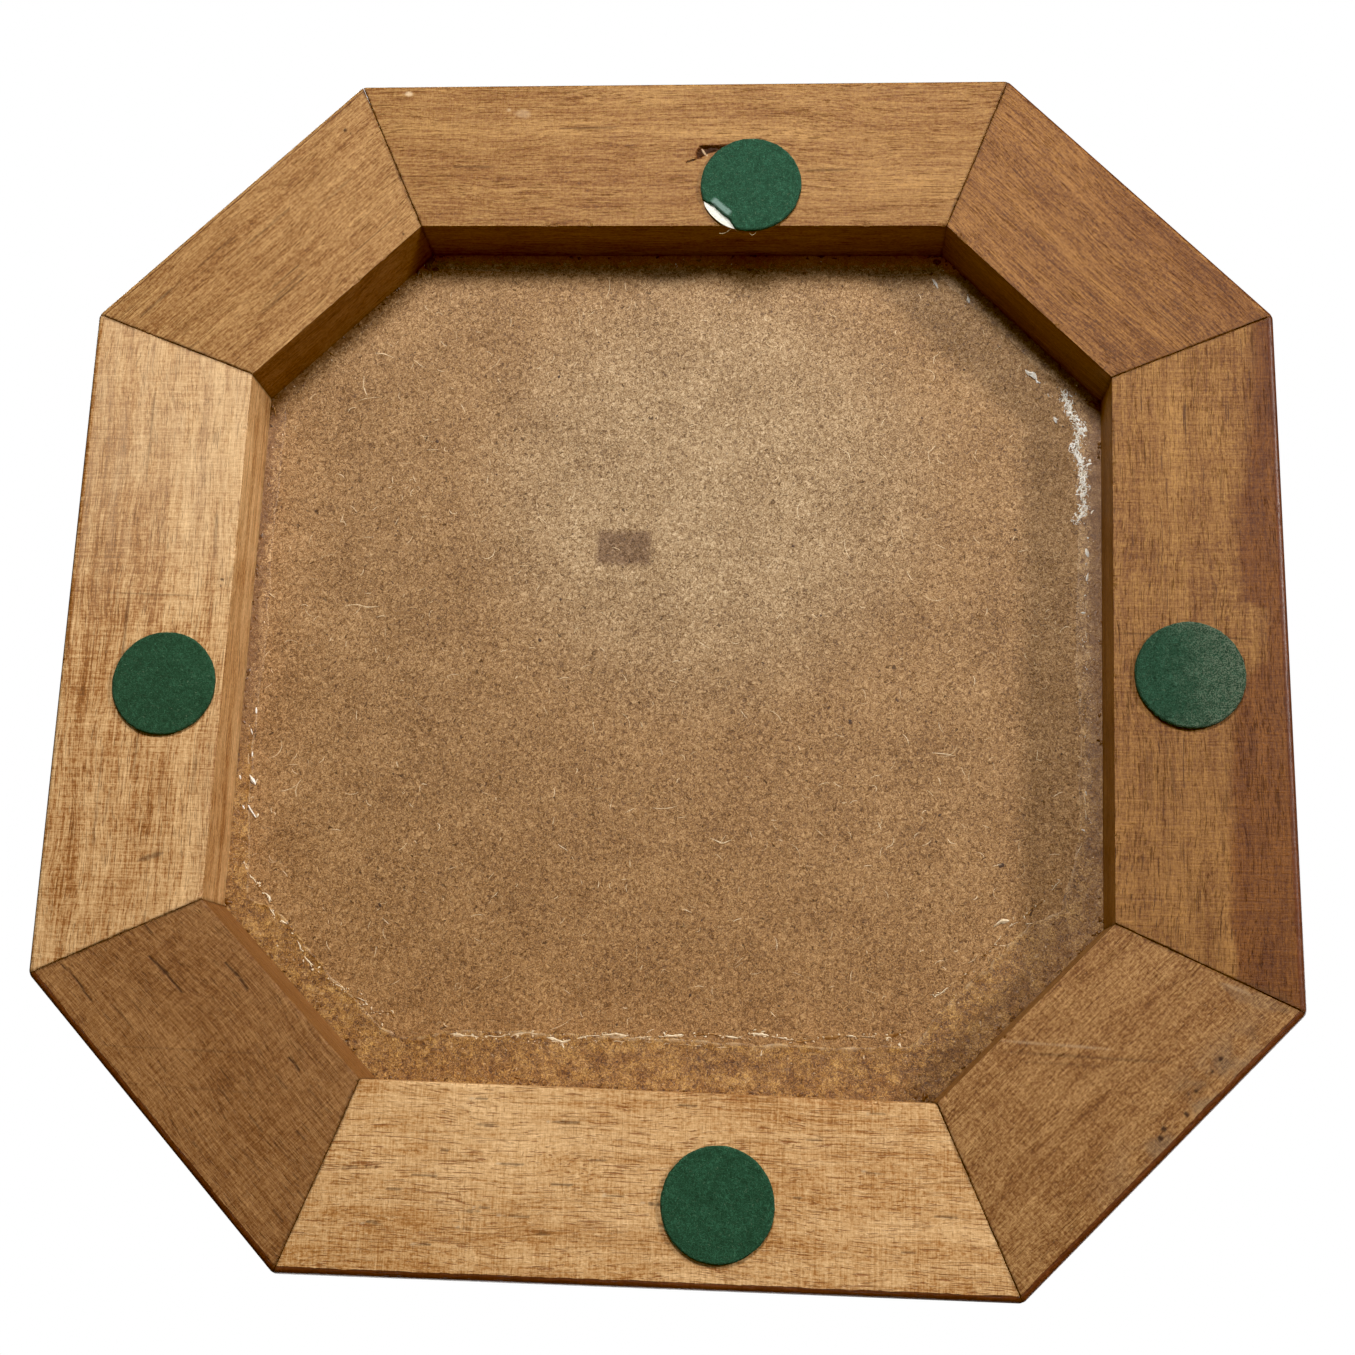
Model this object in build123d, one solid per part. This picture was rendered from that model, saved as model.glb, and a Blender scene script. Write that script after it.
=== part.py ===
from build123d import *
import os
from math import cos, sin, hypot, pi

os.makedirs("parts", exist_ok=True)

# ---------------------------------------------------------------------------
# Small octagonal crokinole board, millimetres, play side up (+Z).
# Origin: middle of the footprint, on the plane the felt pads stand on.
# ---------------------------------------------------------------------------

# felt feet
pad_diameter = 24.6
felt_thickness = 1.1
backing_thickness = 0.15
pad_height = felt_thickness + backing_thickness

# eight rails, hand-cut stock, mitred together
rail_height = 32.0
bottom_outer_radius = 1.4      # eased arris between underside and outer face
top_outer_radius = 4.0
top_inner_radius = 2.0
corner_radius = 2.4            # vertical arris at each of the eight outer corners
mitre_clearance = 0.05         # glue line, per mitre face

# hardboard bottom, captured in a groove round the inside of the rails
recess_depth = 16.0            # rail underside to panel underside
panel_thickness = 3.2
groove_depth = 6.0
panel_edge_clearance = 0.4

# round playing surface glued on the panel, leaving a ditch all round
disc_radius = 86.0
disc_thickness = 6.4
disc_edge_radius = 0.8
centre_hole_radius = 8.0

# ring of eight pegs, each a domed pin with a rubber sleeve
peg_count = 8
peg_circle_radius = 26.5
pin_radius = 0.8
pin_depth = 5.2                # length of pin inside the playing surface
sleeve_radius = 2.0
sleeve_height = 4.6
pin_head_radius = 1.5
pin_head_height = 1.0

# hidden splines across the mitres
spline_thickness = 3.0
spline_length = 22.0           # along the mitre
spline_width = 16.0            # across the mitre, half in each rail
spline_z = 8.0                 # centre above the rail underside

# dried glue along the seam under the panel
glue_width = 11.0
glue_thickness = 0.3

# mitre lines: outer corner x, y and inner corner x, y, anticlockwise from
# the right end of the front rail, seen from the play side
mitres = [
    (79.35, -141.35, 64.55, -102.60),    # front / front-right
    (140.25, -80.10, 102.85, -64.20),    # front-right / right
    (141.45, 80.20, 101.40, 62.30),      # right / back-right
    (81.15, 141.55, 63.10, 101.70),      # back-right / back
    (-78.30, 142.65, -62.35, 101.20),    # back / back-left
    (-140.00, 81.00, -101.55, 63.05),    # back-left / left
    (-141.60, -78.80, -101.55, -63.30),  # left / front-left
    (-80.55, -140.55, -62.90, -102.30),  # front-left / front
]
rail_names = [
    "front_right_rail", "right_rail", "back_right_rail", "back_rail",
    "back_left_rail", "left_rail", "front_left_rail", "front_rail",
]
# pad centres
pads = {
    "front": (17.48, -112.94),
    "back": (16.92, 124.31),
    "left": (-115.24, 13.62),
    "right": (118.64, 6.70),
}

# ---------------------------------------------------------------------------
z_under = pad_height                          # rail underside
z_top = z_under + rail_height                 # rim top
z_panel = z_under + recess_depth              # panel underside
z_disc = z_panel + panel_thickness            # playing surface underside
z_play = z_disc + disc_thickness              # playing surface

outer = [(m[0], m[1]) for m in mitres]
inner = [(m[2], m[3]) for m in mitres]
n = len(mitres)


def prism(points, z0, z1):
    """Upright prism on a closed polygon."""
    face = make_face(Polyline(*[(x, y, z0) for x, y in points], close=True))
    return extrude(face, amount=z1 - z0, dir=(0, 0, 1))


def offset_polygon(points, distance):
    """Move every side of an anticlockwise polygon outwards by a distance."""
    lines = []
    for i in range(len(points)):
        (x0, y0), (x1, y1) = points[i], points[(i + 1) % len(points)]
        length = hypot(x1 - x0, y1 - y0)
        nx, ny = (y1 - y0) / length, -(x1 - x0) / length
        lines.append((nx, ny, nx * x0 + ny * y0 + distance))
    out = []
    for i in range(len(points)):
        a1, b1, c1 = lines[i - 1]
        a2, b2, c2 = lines[i]
        det = a1 * b2 - a2 * b1
        out.append(((c1 * b2 - c2 * b1) / det, (a1 * c2 - a2 * c1) / det))
    return out


def save(shape, node):
    export_step(shape, "parts/" + node + ".step")


# ---------------------------------------------------------------------------
# frame: one ring with its eased edges, grooved, then parted at the mitres
ring = prism(outer, z_under, z_top) - prism(inner, z_under - 1, z_top + 1)
upright = [
    e for e in ring.edges().filter_by(Axis.Z)
    if hypot(e.center().X, e.center().Y) > 135
]
ring = fillet(upright, corner_radius)


def loop(shape, z, outside):
    """Edges of the outer or inner outline at a height."""
    found = []
    for e in shape.edges():
        c = e.center()
        box = e.bounding_box()
        if abs(box.min.Z - z) > 1e-4 or abs(box.max.Z - z) > 1e-4:
            continue
        # distance from the centre, against the half-way line of the rail
        reach = max(abs(c.X), abs(c.Y), (abs(c.X) + abs(c.Y)) / 2 ** 0.5 * 0.905)
        if (reach > 120) == outside:
            found.append(e)
    return found


ring = fillet(loop(ring, z_under, True), bottom_outer_radius)
ring = fillet(loop(ring, z_top, True), top_outer_radius)
ring = fillet(loop(ring, z_top, False), top_inner_radius)
groove = prism(offset_polygon(inner, groove_depth), z_panel, z_disc)
ring = ring - groove

# spline slots, and the splines that fill them
splines = []
slots = []
for ox, oy, ix, iy in mitres:
    length = hypot(ox - ix, oy - iy)
    ux, uy = (ox - ix) / length, (oy - iy) / length
    mx, my = (ox + ix) / 2 + ux * 1.5, (oy + iy) / 2 + uy * 1.5
    place = Plane(
        origin=(mx, my, z_under + spline_z), x_dir=(ux, uy, 0), z_dir=(0, 0, 1)
    )
    splines.append(place * Box(spline_length - 0.3, spline_width - 0.3, spline_thickness))
    slots.append(place * Box(spline_length, spline_width, spline_thickness))
for s in slots:
    ring = ring - s

for i, name in enumerate(rail_names):
    a, b = mitres[i], mitres[(i + 1) % n]
    ends = []
    for m, other in ((a, b), (b, a)):
        length = hypot(m[0] - m[2], m[1] - m[3])
        ux, uy = (m[0] - m[2]) / length, (m[1] - m[3]) / length
        px, py = -uy, ux
        side = (other[0] - m[0]) * px + (other[1] - m[1]) * py
        k = mitre_clearance if side > 0 else -mitre_clearance
        ends.append((
            (m[0] + ux * 12 + px * k, m[1] + uy * 12 + py * k),
            (m[2] - ux * 12 + px * k, m[3] - uy * 12 + py * k),
        ))
    wedge = prism(
        [ends[0][0], ends[1][0], ends[1][1], ends[0][1]], z_under - 2, z_top + 2
    )
    rail = ring & wedge
    solids = rail.solids()
    assert len(solids) == 1, (name, len(solids))
    save(solids[0], name)

save(Compound(children=splines), "mitre_splines")

# ---------------------------------------------------------------------------
# bottom panel
panel = prism(offset_polygon(inner, groove_depth - panel_edge_clearance), z_panel, z_disc)
save(panel, "base_panel")

# dried glue film in the corner between the panel and the rails
glue = prism(inner, z_panel - glue_thickness, z_panel) - prism(
    offset_polygon(inner, -glue_width), z_panel - 1, z_panel + 1
)
save(glue.solids()[0], "glue_film")

# ---------------------------------------------------------------------------
# playing surface with its centre hole and blind holes for the pins
disc = Pos(0, 0, z_disc) * Cylinder(
    disc_radius, disc_thickness, align=(Align.CENTER, Align.CENTER, Align.MIN)
)
disc = fillet(disc.edges().sort_by(Axis.Z)[-1], disc_edge_radius)
disc = disc - Pos(0, 0, z_disc - 1) * Cylinder(
    centre_hole_radius, disc_thickness + 2, align=(Align.CENTER, Align.CENTER, Align.MIN)
)
pins, sleeves = [], []
for k in range(peg_count):
    t = (k + 0.5) * 2 * pi / peg_count
    x, y = peg_circle_radius * cos(t), peg_circle_radius * sin(t)
    disc = disc - Pos(x, y, z_play - pin_depth) * Cylinder(
        pin_radius, pin_depth + 1, align=(Align.CENTER, Align.CENTER, Align.MIN)
    )
    shank = Pos(x, y, z_play - pin_depth) * Cylinder(
        pin_radius, pin_depth + sleeve_height,
        align=(Align.CENTER, Align.CENTER, Align.MIN),
    )
    head = Pos(x, y, z_play + sleeve_height) * Cylinder(
        pin_head_radius, pin_head_height, align=(Align.CENTER, Align.CENTER, Align.MIN)
    )
    head = fillet(head.edges().sort_by(Axis.Z)[-1], 0.7)
    pin = shank + head
    pins.append(pin.solids()[0])
    sleeve = Pos(x, y, z_play) * (
        Cylinder(sleeve_radius, sleeve_height, align=(Align.CENTER, Align.CENTER, Align.MIN))
        - Cylinder(pin_radius, sleeve_height, align=(Align.CENTER, Align.CENTER, Align.MIN))
    )
    sleeves.append(sleeve.solids()[0])
save(disc.solids()[0], "playing_surface")
save(Compound(children=pins), "peg_pins")
save(Compound(children=sleeves), "peg_sleeves")

# ---------------------------------------------------------------------------
# felt feet: a felt disc on an adhesive paper backing
for side, (x, y) in pads.items():
    felt = Pos(x, y, 0) * Cylinder(
        pad_diameter / 2, felt_thickness, align=(Align.CENTER, Align.CENTER, Align.MIN)
    )
    backing = Pos(x, y, felt_thickness) * Cylinder(
        pad_diameter / 2, backing_thickness,
        align=(Align.CENTER, Align.CENTER, Align.MIN),
    )
    save(felt, side + "_felt_pad")
    save(backing, side + "_pad_backing")
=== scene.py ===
import math

import bpy
import numpy as np
from mathutils import Matrix, Vector


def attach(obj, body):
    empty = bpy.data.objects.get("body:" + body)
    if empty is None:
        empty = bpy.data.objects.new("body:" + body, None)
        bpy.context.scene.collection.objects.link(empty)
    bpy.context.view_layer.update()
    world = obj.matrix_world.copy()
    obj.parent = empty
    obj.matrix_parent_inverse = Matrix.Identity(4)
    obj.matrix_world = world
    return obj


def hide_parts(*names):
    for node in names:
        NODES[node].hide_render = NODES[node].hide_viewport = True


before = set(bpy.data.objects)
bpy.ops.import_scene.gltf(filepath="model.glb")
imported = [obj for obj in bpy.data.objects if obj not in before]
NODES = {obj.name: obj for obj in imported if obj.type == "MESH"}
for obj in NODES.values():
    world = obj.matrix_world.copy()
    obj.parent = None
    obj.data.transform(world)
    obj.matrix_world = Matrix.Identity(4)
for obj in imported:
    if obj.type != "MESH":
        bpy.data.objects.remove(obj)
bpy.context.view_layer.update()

# --------------------------------------------------------------------------
# the board's own measures, millimetres, as in the CAD
Z0 = 1.25            # rail underside
H = 32.0             # rail height
RECESS = 16.0
PANEL = 3.2
Z_PANEL = Z0 + RECESS
Z_DISC = Z_PANEL + PANEL
Z_PLAY = Z_DISC + 6.4
MIT = np.array([
    (79.35, -141.35, 64.55, -102.60),
    (140.25, -80.10, 102.85, -64.20),
    (141.45, 80.20, 101.40, 62.30),
    (81.15, 141.55, 63.10, 101.70),
    (-78.30, 142.65, -62.35, 101.20),
    (-140.00, 81.00, -101.55, 63.05),
    (-141.60, -78.80, -101.55, -63.30),
    (-80.55, -140.55, -62.90, -102.30),
])
RAILS = [
    "front_right_rail", "right_rail", "back_right_rail", "back_rail",
    "back_left_rail", "left_rail", "front_left_rail", "front_rail",
]
PADS = {
    "front": (17.48, -112.94),
    "back": (16.92, 124.31),
    "left": (-115.24, 13.62),
    "right": (118.64, 6.70),
}


# --------------------------------------------------------------------------
# small numeric helpers
def lattice(seed):
    return np.random.default_rng(1000 + seed).random((256, 256))


LAT = {}


def vnoise(x, y, seed=0):
    """Smooth value noise, 0 to 1."""
    if seed not in LAT:
        LAT[seed] = lattice(seed)
    t = LAT[seed]
    x, y = np.broadcast_arrays(np.asarray(x, float), np.asarray(y, float))
    xi, yi = np.floor(x).astype(int), np.floor(y).astype(int)
    fx, fy = x - xi, y - yi
    fx, fy = fx * fx * (3 - 2 * fx), fy * fy * (3 - 2 * fy)
    a, b = t[xi & 255, yi & 255], t[(xi + 1) & 255, yi & 255]
    c, d = t[xi & 255, (yi + 1) & 255], t[(xi + 1) & 255, (yi + 1) & 255]
    return (a * (1 - fx) + b * fx) * (1 - fy) + (c * (1 - fx) + d * fx) * fy


def fbm(x, y, seed=0, octaves=4):
    out, amp, total = 0.0, 1.0, 0.0
    for k in range(octaves):
        out = out + amp * vnoise(x * 2.0 ** k, y * 2.0 ** k, seed + k)
        total += amp
        amp *= 0.5
    return out / total


def smooth(a, b, x):
    t = np.clip((np.asarray(x, float) - a) / (b - a), 0, 1)
    return t * t * (3 - 2 * t)


def seg_dist(px, py, pts):
    """Distance to a polyline, and the share of its length at the nearest point."""
    pts = np.asarray(pts, float)
    best = np.full(px.shape, 1e9)
    share = np.zeros(px.shape)
    lens = np.hypot(*(pts[1:] - pts[:-1]).T)
    run, total = 0.0, lens.sum()
    for (x0, y0), (x1, y1), ln in zip(pts[:-1], pts[1:], lens):
        dx, dy = x1 - x0, y1 - y0
        t = np.clip(((px - x0) * dx + (py - y0) * dy) / max(ln * ln, 1e-9), 0, 1)
        d = np.hypot(px - x0 - t * dx, py - y0 - t * dy)
        near = d < best
        best = np.where(near, d, best)
        share = np.where(near, (run + t * ln) / total, share)
        run += ln
    return best, share


def poly_inside(px, py, pts):
    """Signed distance to a closed polygon, positive inside."""
    pts = np.asarray(pts, float)
    d, _ = seg_dist(px, py, np.vstack([pts, pts[:1]]))
    inside = np.zeros(px.shape, bool)
    for (x0, y0), (x1, y1) in zip(pts, np.roll(pts, -1, 0)):
        hit = ((y0 > py) != (y1 > py)) & (
            px < (x1 - x0) * (py - y0) / ((y1 - y0) if y1 != y0 else 1e-9) + x0
        )
        inside ^= hit
    return np.where(inside, d, -d)


def make_mesh(name, verts, faces, attrs=None, angle=35.0):
    """verts in millimetres; faces a list of index arrays, one array per face size."""
    me = bpy.data.meshes.new(name)
    verts = np.asarray(verts, float)
    me.vertices.add(len(verts))
    me.vertices.foreach_set("co", (verts * 0.001).astype(np.float32).ravel())
    loops, starts, at = [], [], 0
    for f in faces:
        f = np.atleast_2d(np.asarray(f, int))
        if f.size == 0:
            continue
        loops.append(f.ravel())
        starts.append(at + np.arange(len(f)) * f.shape[1])
        at += f.size
    loops, starts = np.concatenate(loops), np.concatenate(starts)
    me.loops.add(len(loops))
    me.loops.foreach_set("vertex_index", loops.astype(np.int32))
    me.polygons.add(len(starts))
    me.polygons.foreach_set("loop_start", starts.astype(np.int32))
    me.update(calc_edges=True)
    me.validate()
    for key, (kind, values) in (attrs or {}).items():
        a = me.attributes.new(key, kind, "POINT")
        field = {"FLOAT": "value", "FLOAT_VECTOR": "vector", "FLOAT_COLOR": "color"}[kind]
        a.data.foreach_set(field, np.asarray(values, np.float32).ravel())
    me.polygons.foreach_set("use_smooth", np.ones(len(me.polygons), bool))
    me.set_sharp_from_angle(angle=math.radians(angle))
    ob = bpy.data.objects.new(name, me)
    bpy.context.scene.collection.objects.link(ob)
    return ob


def place(ob, material, replaces=()):
    ob.data.materials.clear()
    ob.data.materials.append(material)
    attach(ob, "root")
    if replaces:
        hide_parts(*replaces)
    return ob


def grid_faces(nu, nv, close_u=False, close_v=False, flip=False):
    """Quads of a nu x nv grid whose vertex index is iu * nv + iv."""
    u = np.arange(nu if close_u else nu - 1)
    v = np.arange(nv if close_v else nv - 1)
    u, v = np.meshgrid(u, v, indexing="ij")
    u1, v1 = (u + 1) % nu, (v + 1) % nv
    q = np.stack([u * nv + v, u1 * nv + v, u1 * nv + v1, u * nv + v1], -1).reshape(-1, 4)
    return q[:, ::-1] if flip else q


def strips(name, paths, half_w, half_h, up=(0, 0, 1)):
    """Many thin closed strands in one mesh: paths (n, m, 3), half widths (n, m)."""
    paths = np.asarray(paths, float)
    n, m, _ = paths.shape
    half_w = np.broadcast_to(half_w, (n, m))
    half_h = np.broadcast_to(half_h, (n, m))
    t = np.gradient(paths, axis=1)
    t /= np.linalg.norm(t, axis=2, keepdims=True) + 1e-12
    side = np.cross(t, np.array(up, float))
    side /= np.linalg.norm(side, axis=2, keepdims=True) + 1e-12
    upv = np.cross(side, t)
    ring = [
        paths + side * half_w[..., None],
        paths + upv * half_h[..., None],
        paths - side * half_w[..., None],
        paths - upv * half_h[..., None],
    ]
    v = np.stack(ring, 2)                       # n, m, 4, 3
    base = (np.arange(n) * m * 4)[:, None, None]
    a = np.arange(m - 1)[None, :, None] * 4
    k = np.arange(4)[None, None, :]
    k1 = (k + 1) % 4
    q = np.stack([base + a + k, base + a + k1, base + a + 4 + k1, base + a + 4 + k], -1)
    b = np.arange(n) * m * 4
    cap0 = np.stack([b + 3, b + 2, b + 1, b], -1)
    e = b + (m - 1) * 4
    cap1 = np.stack([e, e + 1, e + 2, e + 3], -1)
    return v.reshape(-1, 3), np.vstack([q.reshape(-1, 4), cap0, cap1])


# --------------------------------------------------------------------------
# material helpers
def srgb(r, g, b, a=1.0):
    def lin(c):
        c /= 255.0
        return c / 12.92 if c <= 0.04045 else ((c + 0.055) / 1.055) ** 2.4

    return (lin(r), lin(g), lin(b), a)


class Graph:
    """Short names for building one node tree."""

    def __init__(self, name, roughness=0.6, specular=0.5):
        self.mat = bpy.data.materials.new(name)
        self.mat.use_nodes = True
        self.t = self.mat.node_tree
        self.t.nodes.clear()
        self.out = self.t.nodes.new("ShaderNodeOutputMaterial")
        self.bsdf = self.t.nodes.new("ShaderNodeBsdfPrincipled")
        self.t.links.new(self.bsdf.outputs[0], self.out.inputs[0])
        self.bsdf.inputs["Roughness"].default_value = roughness
        self.bsdf.inputs["Specular IOR Level"].default_value = specular

    def put(self, sock, value):
        if isinstance(value, bpy.types.NodeSocket):
            self.t.links.new(value, sock)
        elif value is not None:
            sock.default_value = value

    def coords(self, kind="Object"):
        n = self.t.nodes.new("ShaderNodeTexCoord")
        return n.outputs[kind]

    def attr(self, name, out="Vector"):
        n = self.t.nodes.new("ShaderNodeAttribute")
        n.attribute_name = name
        return n.outputs[out]

    def scale(self, vec, s, off=(0, 0, 0)):
        n = self.t.nodes.new("ShaderNodeVectorMath")
        n.operation = "MULTIPLY_ADD"
        self.put(n.inputs[0], vec)
        n.inputs[1].default_value = s
        n.inputs[2].default_value = off
        return n.outputs[0]

    def sep(self, vec):
        n = self.t.nodes.new("ShaderNodeSeparateXYZ")
        self.put(n.inputs[0], vec)
        return n.outputs

    def comb(self, x, y, z):
        n = self.t.nodes.new("ShaderNodeCombineXYZ")
        for s, v in zip(n.inputs, (x, y, z)):
            self.put(s, v)
        return n.outputs[0]

    def noise(self, vec, scale=1.0, detail=2.0, rough=0.5, dist=0.0):
        n = self.t.nodes.new("ShaderNodeTexNoise")
        self.put(n.inputs["Vector"], vec)
        n.inputs["Scale"].default_value = scale
        n.inputs["Detail"].default_value = detail
        n.inputs["Roughness"].default_value = rough
        n.inputs["Distortion"].default_value = dist
        return n.outputs[0]

    def voronoi(self, vec, scale=1.0, feature="F1", rand=1.0, out="Distance"):
        n = self.t.nodes.new("ShaderNodeTexVoronoi")
        n.feature = feature
        self.put(n.inputs["Vector"], vec)
        n.inputs["Scale"].default_value = scale
        n.inputs["Randomness"].default_value = rand
        return n.outputs[out]

    def math(self, op, a, b=None, c=None, clamp=False):
        n = self.t.nodes.new("ShaderNodeMath")
        n.operation = op
        n.use_clamp = clamp
        for s, v in zip(n.inputs, (a, b, c)):
            self.put(s, v)
        return n.outputs[0]

    def vmath(self, op, a, b=None):
        n = self.t.nodes.new("ShaderNodeVectorMath")
        n.operation = op
        self.put(n.inputs[0], a)
        if b is not None:
            self.put(n.inputs[1], b)
        return n.outputs[1] if op in ("LENGTH", "DISTANCE", "DOT_PRODUCT") else n.outputs[0]

    def remap(self, v, a, b, c=0.0, d=1.0, kind="SMOOTHSTEP"):
        n = self.t.nodes.new("ShaderNodeMapRange")
        n.interpolation_type = kind
        self.put(n.inputs[0], v)
        for s, x in zip(n.inputs[1:5], (a, b, c, d)):
            s.default_value = x
        return n.outputs[0]

    def mix(self, fac, a, b, blend="MIX"):
        n = self.t.nodes.new("ShaderNodeMix")
        n.data_type = "RGBA"
        n.blend_type = blend
        self.put(n.inputs[0], fac)
        self.put(n.inputs[6], a)
        self.put(n.inputs[7], b)
        return n.outputs[2]

    def ramp(self, fac, stops):
        n = self.t.nodes.new("ShaderNodeValToRGB")
        r = n.color_ramp
        r.interpolation = "LINEAR"
        while len(r.elements) < len(stops):
            r.elements.new(0.5)
        for e, (p, c) in zip(r.elements, stops):
            e.position = p
            e.color = c
        self.put(n.inputs[0], fac)
        return n.outputs[0]

    def bump(self, height, strength=0.3, distance=0.0002, normal=None):
        n = self.t.nodes.new("ShaderNodeBump")
        n.inputs["Strength"].default_value = strength
        n.inputs["Distance"].default_value = distance
        self.put(n.inputs["Height"], height)
        if normal is not None:
            self.put(n.inputs["Normal"], normal)
        return n.outputs[0]

    def wsum(self, *pairs):
        """Sum of weight * value."""
        total = None
        for w, v in pairs:
            n = self.math("MULTIPLY", v, w)
            total = n if total is None else self.math("ADD", total, n)
        return total

    def finish(self, color=None, rough=None, normal=None):
        if color is not None:
            self.put(self.bsdf.inputs["Base Color"], color)
        if rough is not None:
            self.put(self.bsdf.inputs["Roughness"], rough)
        if normal is not None:
            self.put(self.bsdf.inputs["Normal"], normal)
        return self.mat


# --------------------------------------------------------------------------
# wood of the rails: grain runs along gr.x, everything in millimetres
def wood(name, light, mid, dark, pore, band=0.5, streak=0.35, mott=0.35, saw=0.2,
         pores=0.5, broad=0.3, rough=0.55, stain=((126, 70, 36), (74, 35, 17)), fuzz=0.2, gain=(1, 1, 1),
         contrast=6.0, lines=0.5, ticks=0.25, patch=0.2, slits=0.35, index=0):
    g = Graph(name, 0.5, 0.35)

    def raw(r, gg, b):
        c = srgb(r, gg, b)
        return (c[0] * gain[0], c[1] * gain[1], c[2] * gain[2], 1.0)

    gr = g.attr("gr")
    mk = g.sep(g.attr("mk", "Vector"))
    mk2 = g.sep(g.attr("mk2", "Vector"))
    warp = g.noise(g.scale(gr, (0.02, 0.05, 0.05)), 1.0, 2.0)
    gv = g.vmath("ADD", gr, g.scale(g.comb(0.0, warp, warp), (0, 7.0, 7.0)))
    n_broad = g.noise(g.scale(gr, (0.012, 0.03, 0.03)), 1.0, 2.0, 0.5)
    n_band = g.noise(g.scale(gv, (0.008, 0.22, 0.22)), 1.0, 5.0, 0.62)
    n_str = g.noise(g.scale(gv, (0.07, 2.0, 2.0)), 1.0, 3.0, 0.65)
    n_fine = g.noise(g.scale(gv, (0.5, 4.2, 4.2)), 1.0, 3.0, 0.65)
    n_mott = g.noise(g.scale(gr, (1.3, 1.7, 1.7)), 1.0, 4.0, 0.7)
    n_saw = g.noise(g.scale(gr, (2.6, 0.05, 0.05)), 1.0, 3.0, 0.65)
    n_tick = g.noise(g.scale(gr, (3.4, 0.55, 0.55)), 1.0, 3.0, 0.6)
    sawn = g.remap(g.sep(gr)[2], 53.0 * index + 1.6, 53.0 * index + 0.6)
    n_saw = g.math("MULTIPLY_ADD", g.math("SUBTRACT", n_saw, 0.5), sawn, 0.5)
    n_tick = g.math("MULTIPLY_ADD", g.math("SUBTRACT", n_tick, 0.5), sawn, 0.5)
    n_patch = g.noise(g.scale(gr, (0.09, 0.14, 0.14), (3, 7, 2)), 1.0, 3.0, 0.55)
    total = g.wsum(
        (broad, n_broad), (band, n_band), (streak, n_str), (0.35, n_fine),
        (mott, n_mott), (saw, n_saw), (saw * 0.9, n_tick), (patch, n_patch),
    )
    weight = broad + band + streak + 0.35 + mott + saw * 1.9 + patch
    tone = g.math("MULTIPLY_ADD", total, 1.0 / weight, -0.5)
    tone = g.math("MULTIPLY_ADD", tone, contrast, 0.5, clamp=True)
    def warm(c, k=1.0):
        v = raw(*c)
        return (v[0] * k, v[1] * 0.86 * k, v[2] * 0.62 * k, 1.0)

    deep = tuple(max(4, v * 0.80) for v in dark)
    high = tuple(min(255, v * 1.07 + 6) for v in light)
    col = g.ramp(tone, [(0.0, warm(deep)), (0.24, warm(dark, 1.04)), (0.5, raw(*mid)), (0.76, raw(*light)), (1.0, raw(*high))])
    # long dark growth lines, broken into lengths
    l1 = g.noise(g.scale(gv, (0.018, 0.75, 0.75), (5, 2, 8)), 1.0, 4.0, 0.7)
    l2 = g.noise(g.scale(gr, (0.05, 0.16, 0.16), (6, 1, 3)), 1.0, 2.0, 0.5)
    long_line = g.math("MULTIPLY", g.remap(l1, 0.60, 0.70), g.remap(l2, 0.42, 0.62))
    col = g.mix(g.math("MULTIPLY", long_line, lines), col, warm(dark, 0.74))
    # thin dark slits where the grain has opened
    s1 = g.noise(g.scale(gv, (0.075, 3.0, 3.0), (12, 4, 6)), 1.0, 1.0, 0.5)
    s2 = g.noise(g.scale(gr, (0.06, 0.22, 0.22), (2, 13, 5)), 1.0, 2.0, 0.5)
    slit = g.math("MULTIPLY", g.remap(s1, 0.655, 0.70), g.remap(s2, 0.42, 0.56))
    slit = g.math("MULTIPLY", slit, sawn)
    col = g.mix(g.math("MULTIPLY", slit, slits), col, warm(dark, 0.6))
    # dark pores: fine short dashes along the grain, in drifts
    d1 = g.noise(g.scale(gv, (0.19, 3.9, 3.9), (7, 3, 1)), 1.0, 2.0, 0.5)
    d2 = g.noise(g.scale(gr, (0.07, 0.16, 0.16), (1, 9, 4)), 1.0, 3.0, 0.6)
    dash = g.remap(g.math("ADD", d1, g.math("MULTIPLY", d2, 0.30)), 0.80 - 0.06 * pores, 0.90 - 0.06 * pores)
    col = g.mix(g.math("MULTIPLY", dash, min(0.85, 0.30 + 0.38 * pores)), col, warm(pore))
    # cross ticks left by the saw: short dark nicks square to the grain
    k1 = g.noise(g.scale(gr, (2.3, 0.5, 0.5), (4, 4, 9)), 1.0, 2.0, 0.5)
    nick = g.math("MULTIPLY", g.math("MULTIPLY", g.remap(k1, 0.60, 0.72), g.remap(n_patch, 0.40, 0.60)), sawn)
    col = g.mix(g.math("MULTIPLY", nick, ticks), col, warm(dark, 0.8))
    # pale torn fibres
    f1 = g.noise(g.scale(gr, (0.9, 3.4, 3.4), (11, 5, 2)), 1.0, 2.0, 0.5)
    pale = g.remap(f1, 0.62, 0.74)
    col = g.mix(g.math("MULTIPLY", pale, fuzz), col, raw(min(255, light[0] + 30), min(255, light[1] + 32), min(255, light[2] + 34)))
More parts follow.
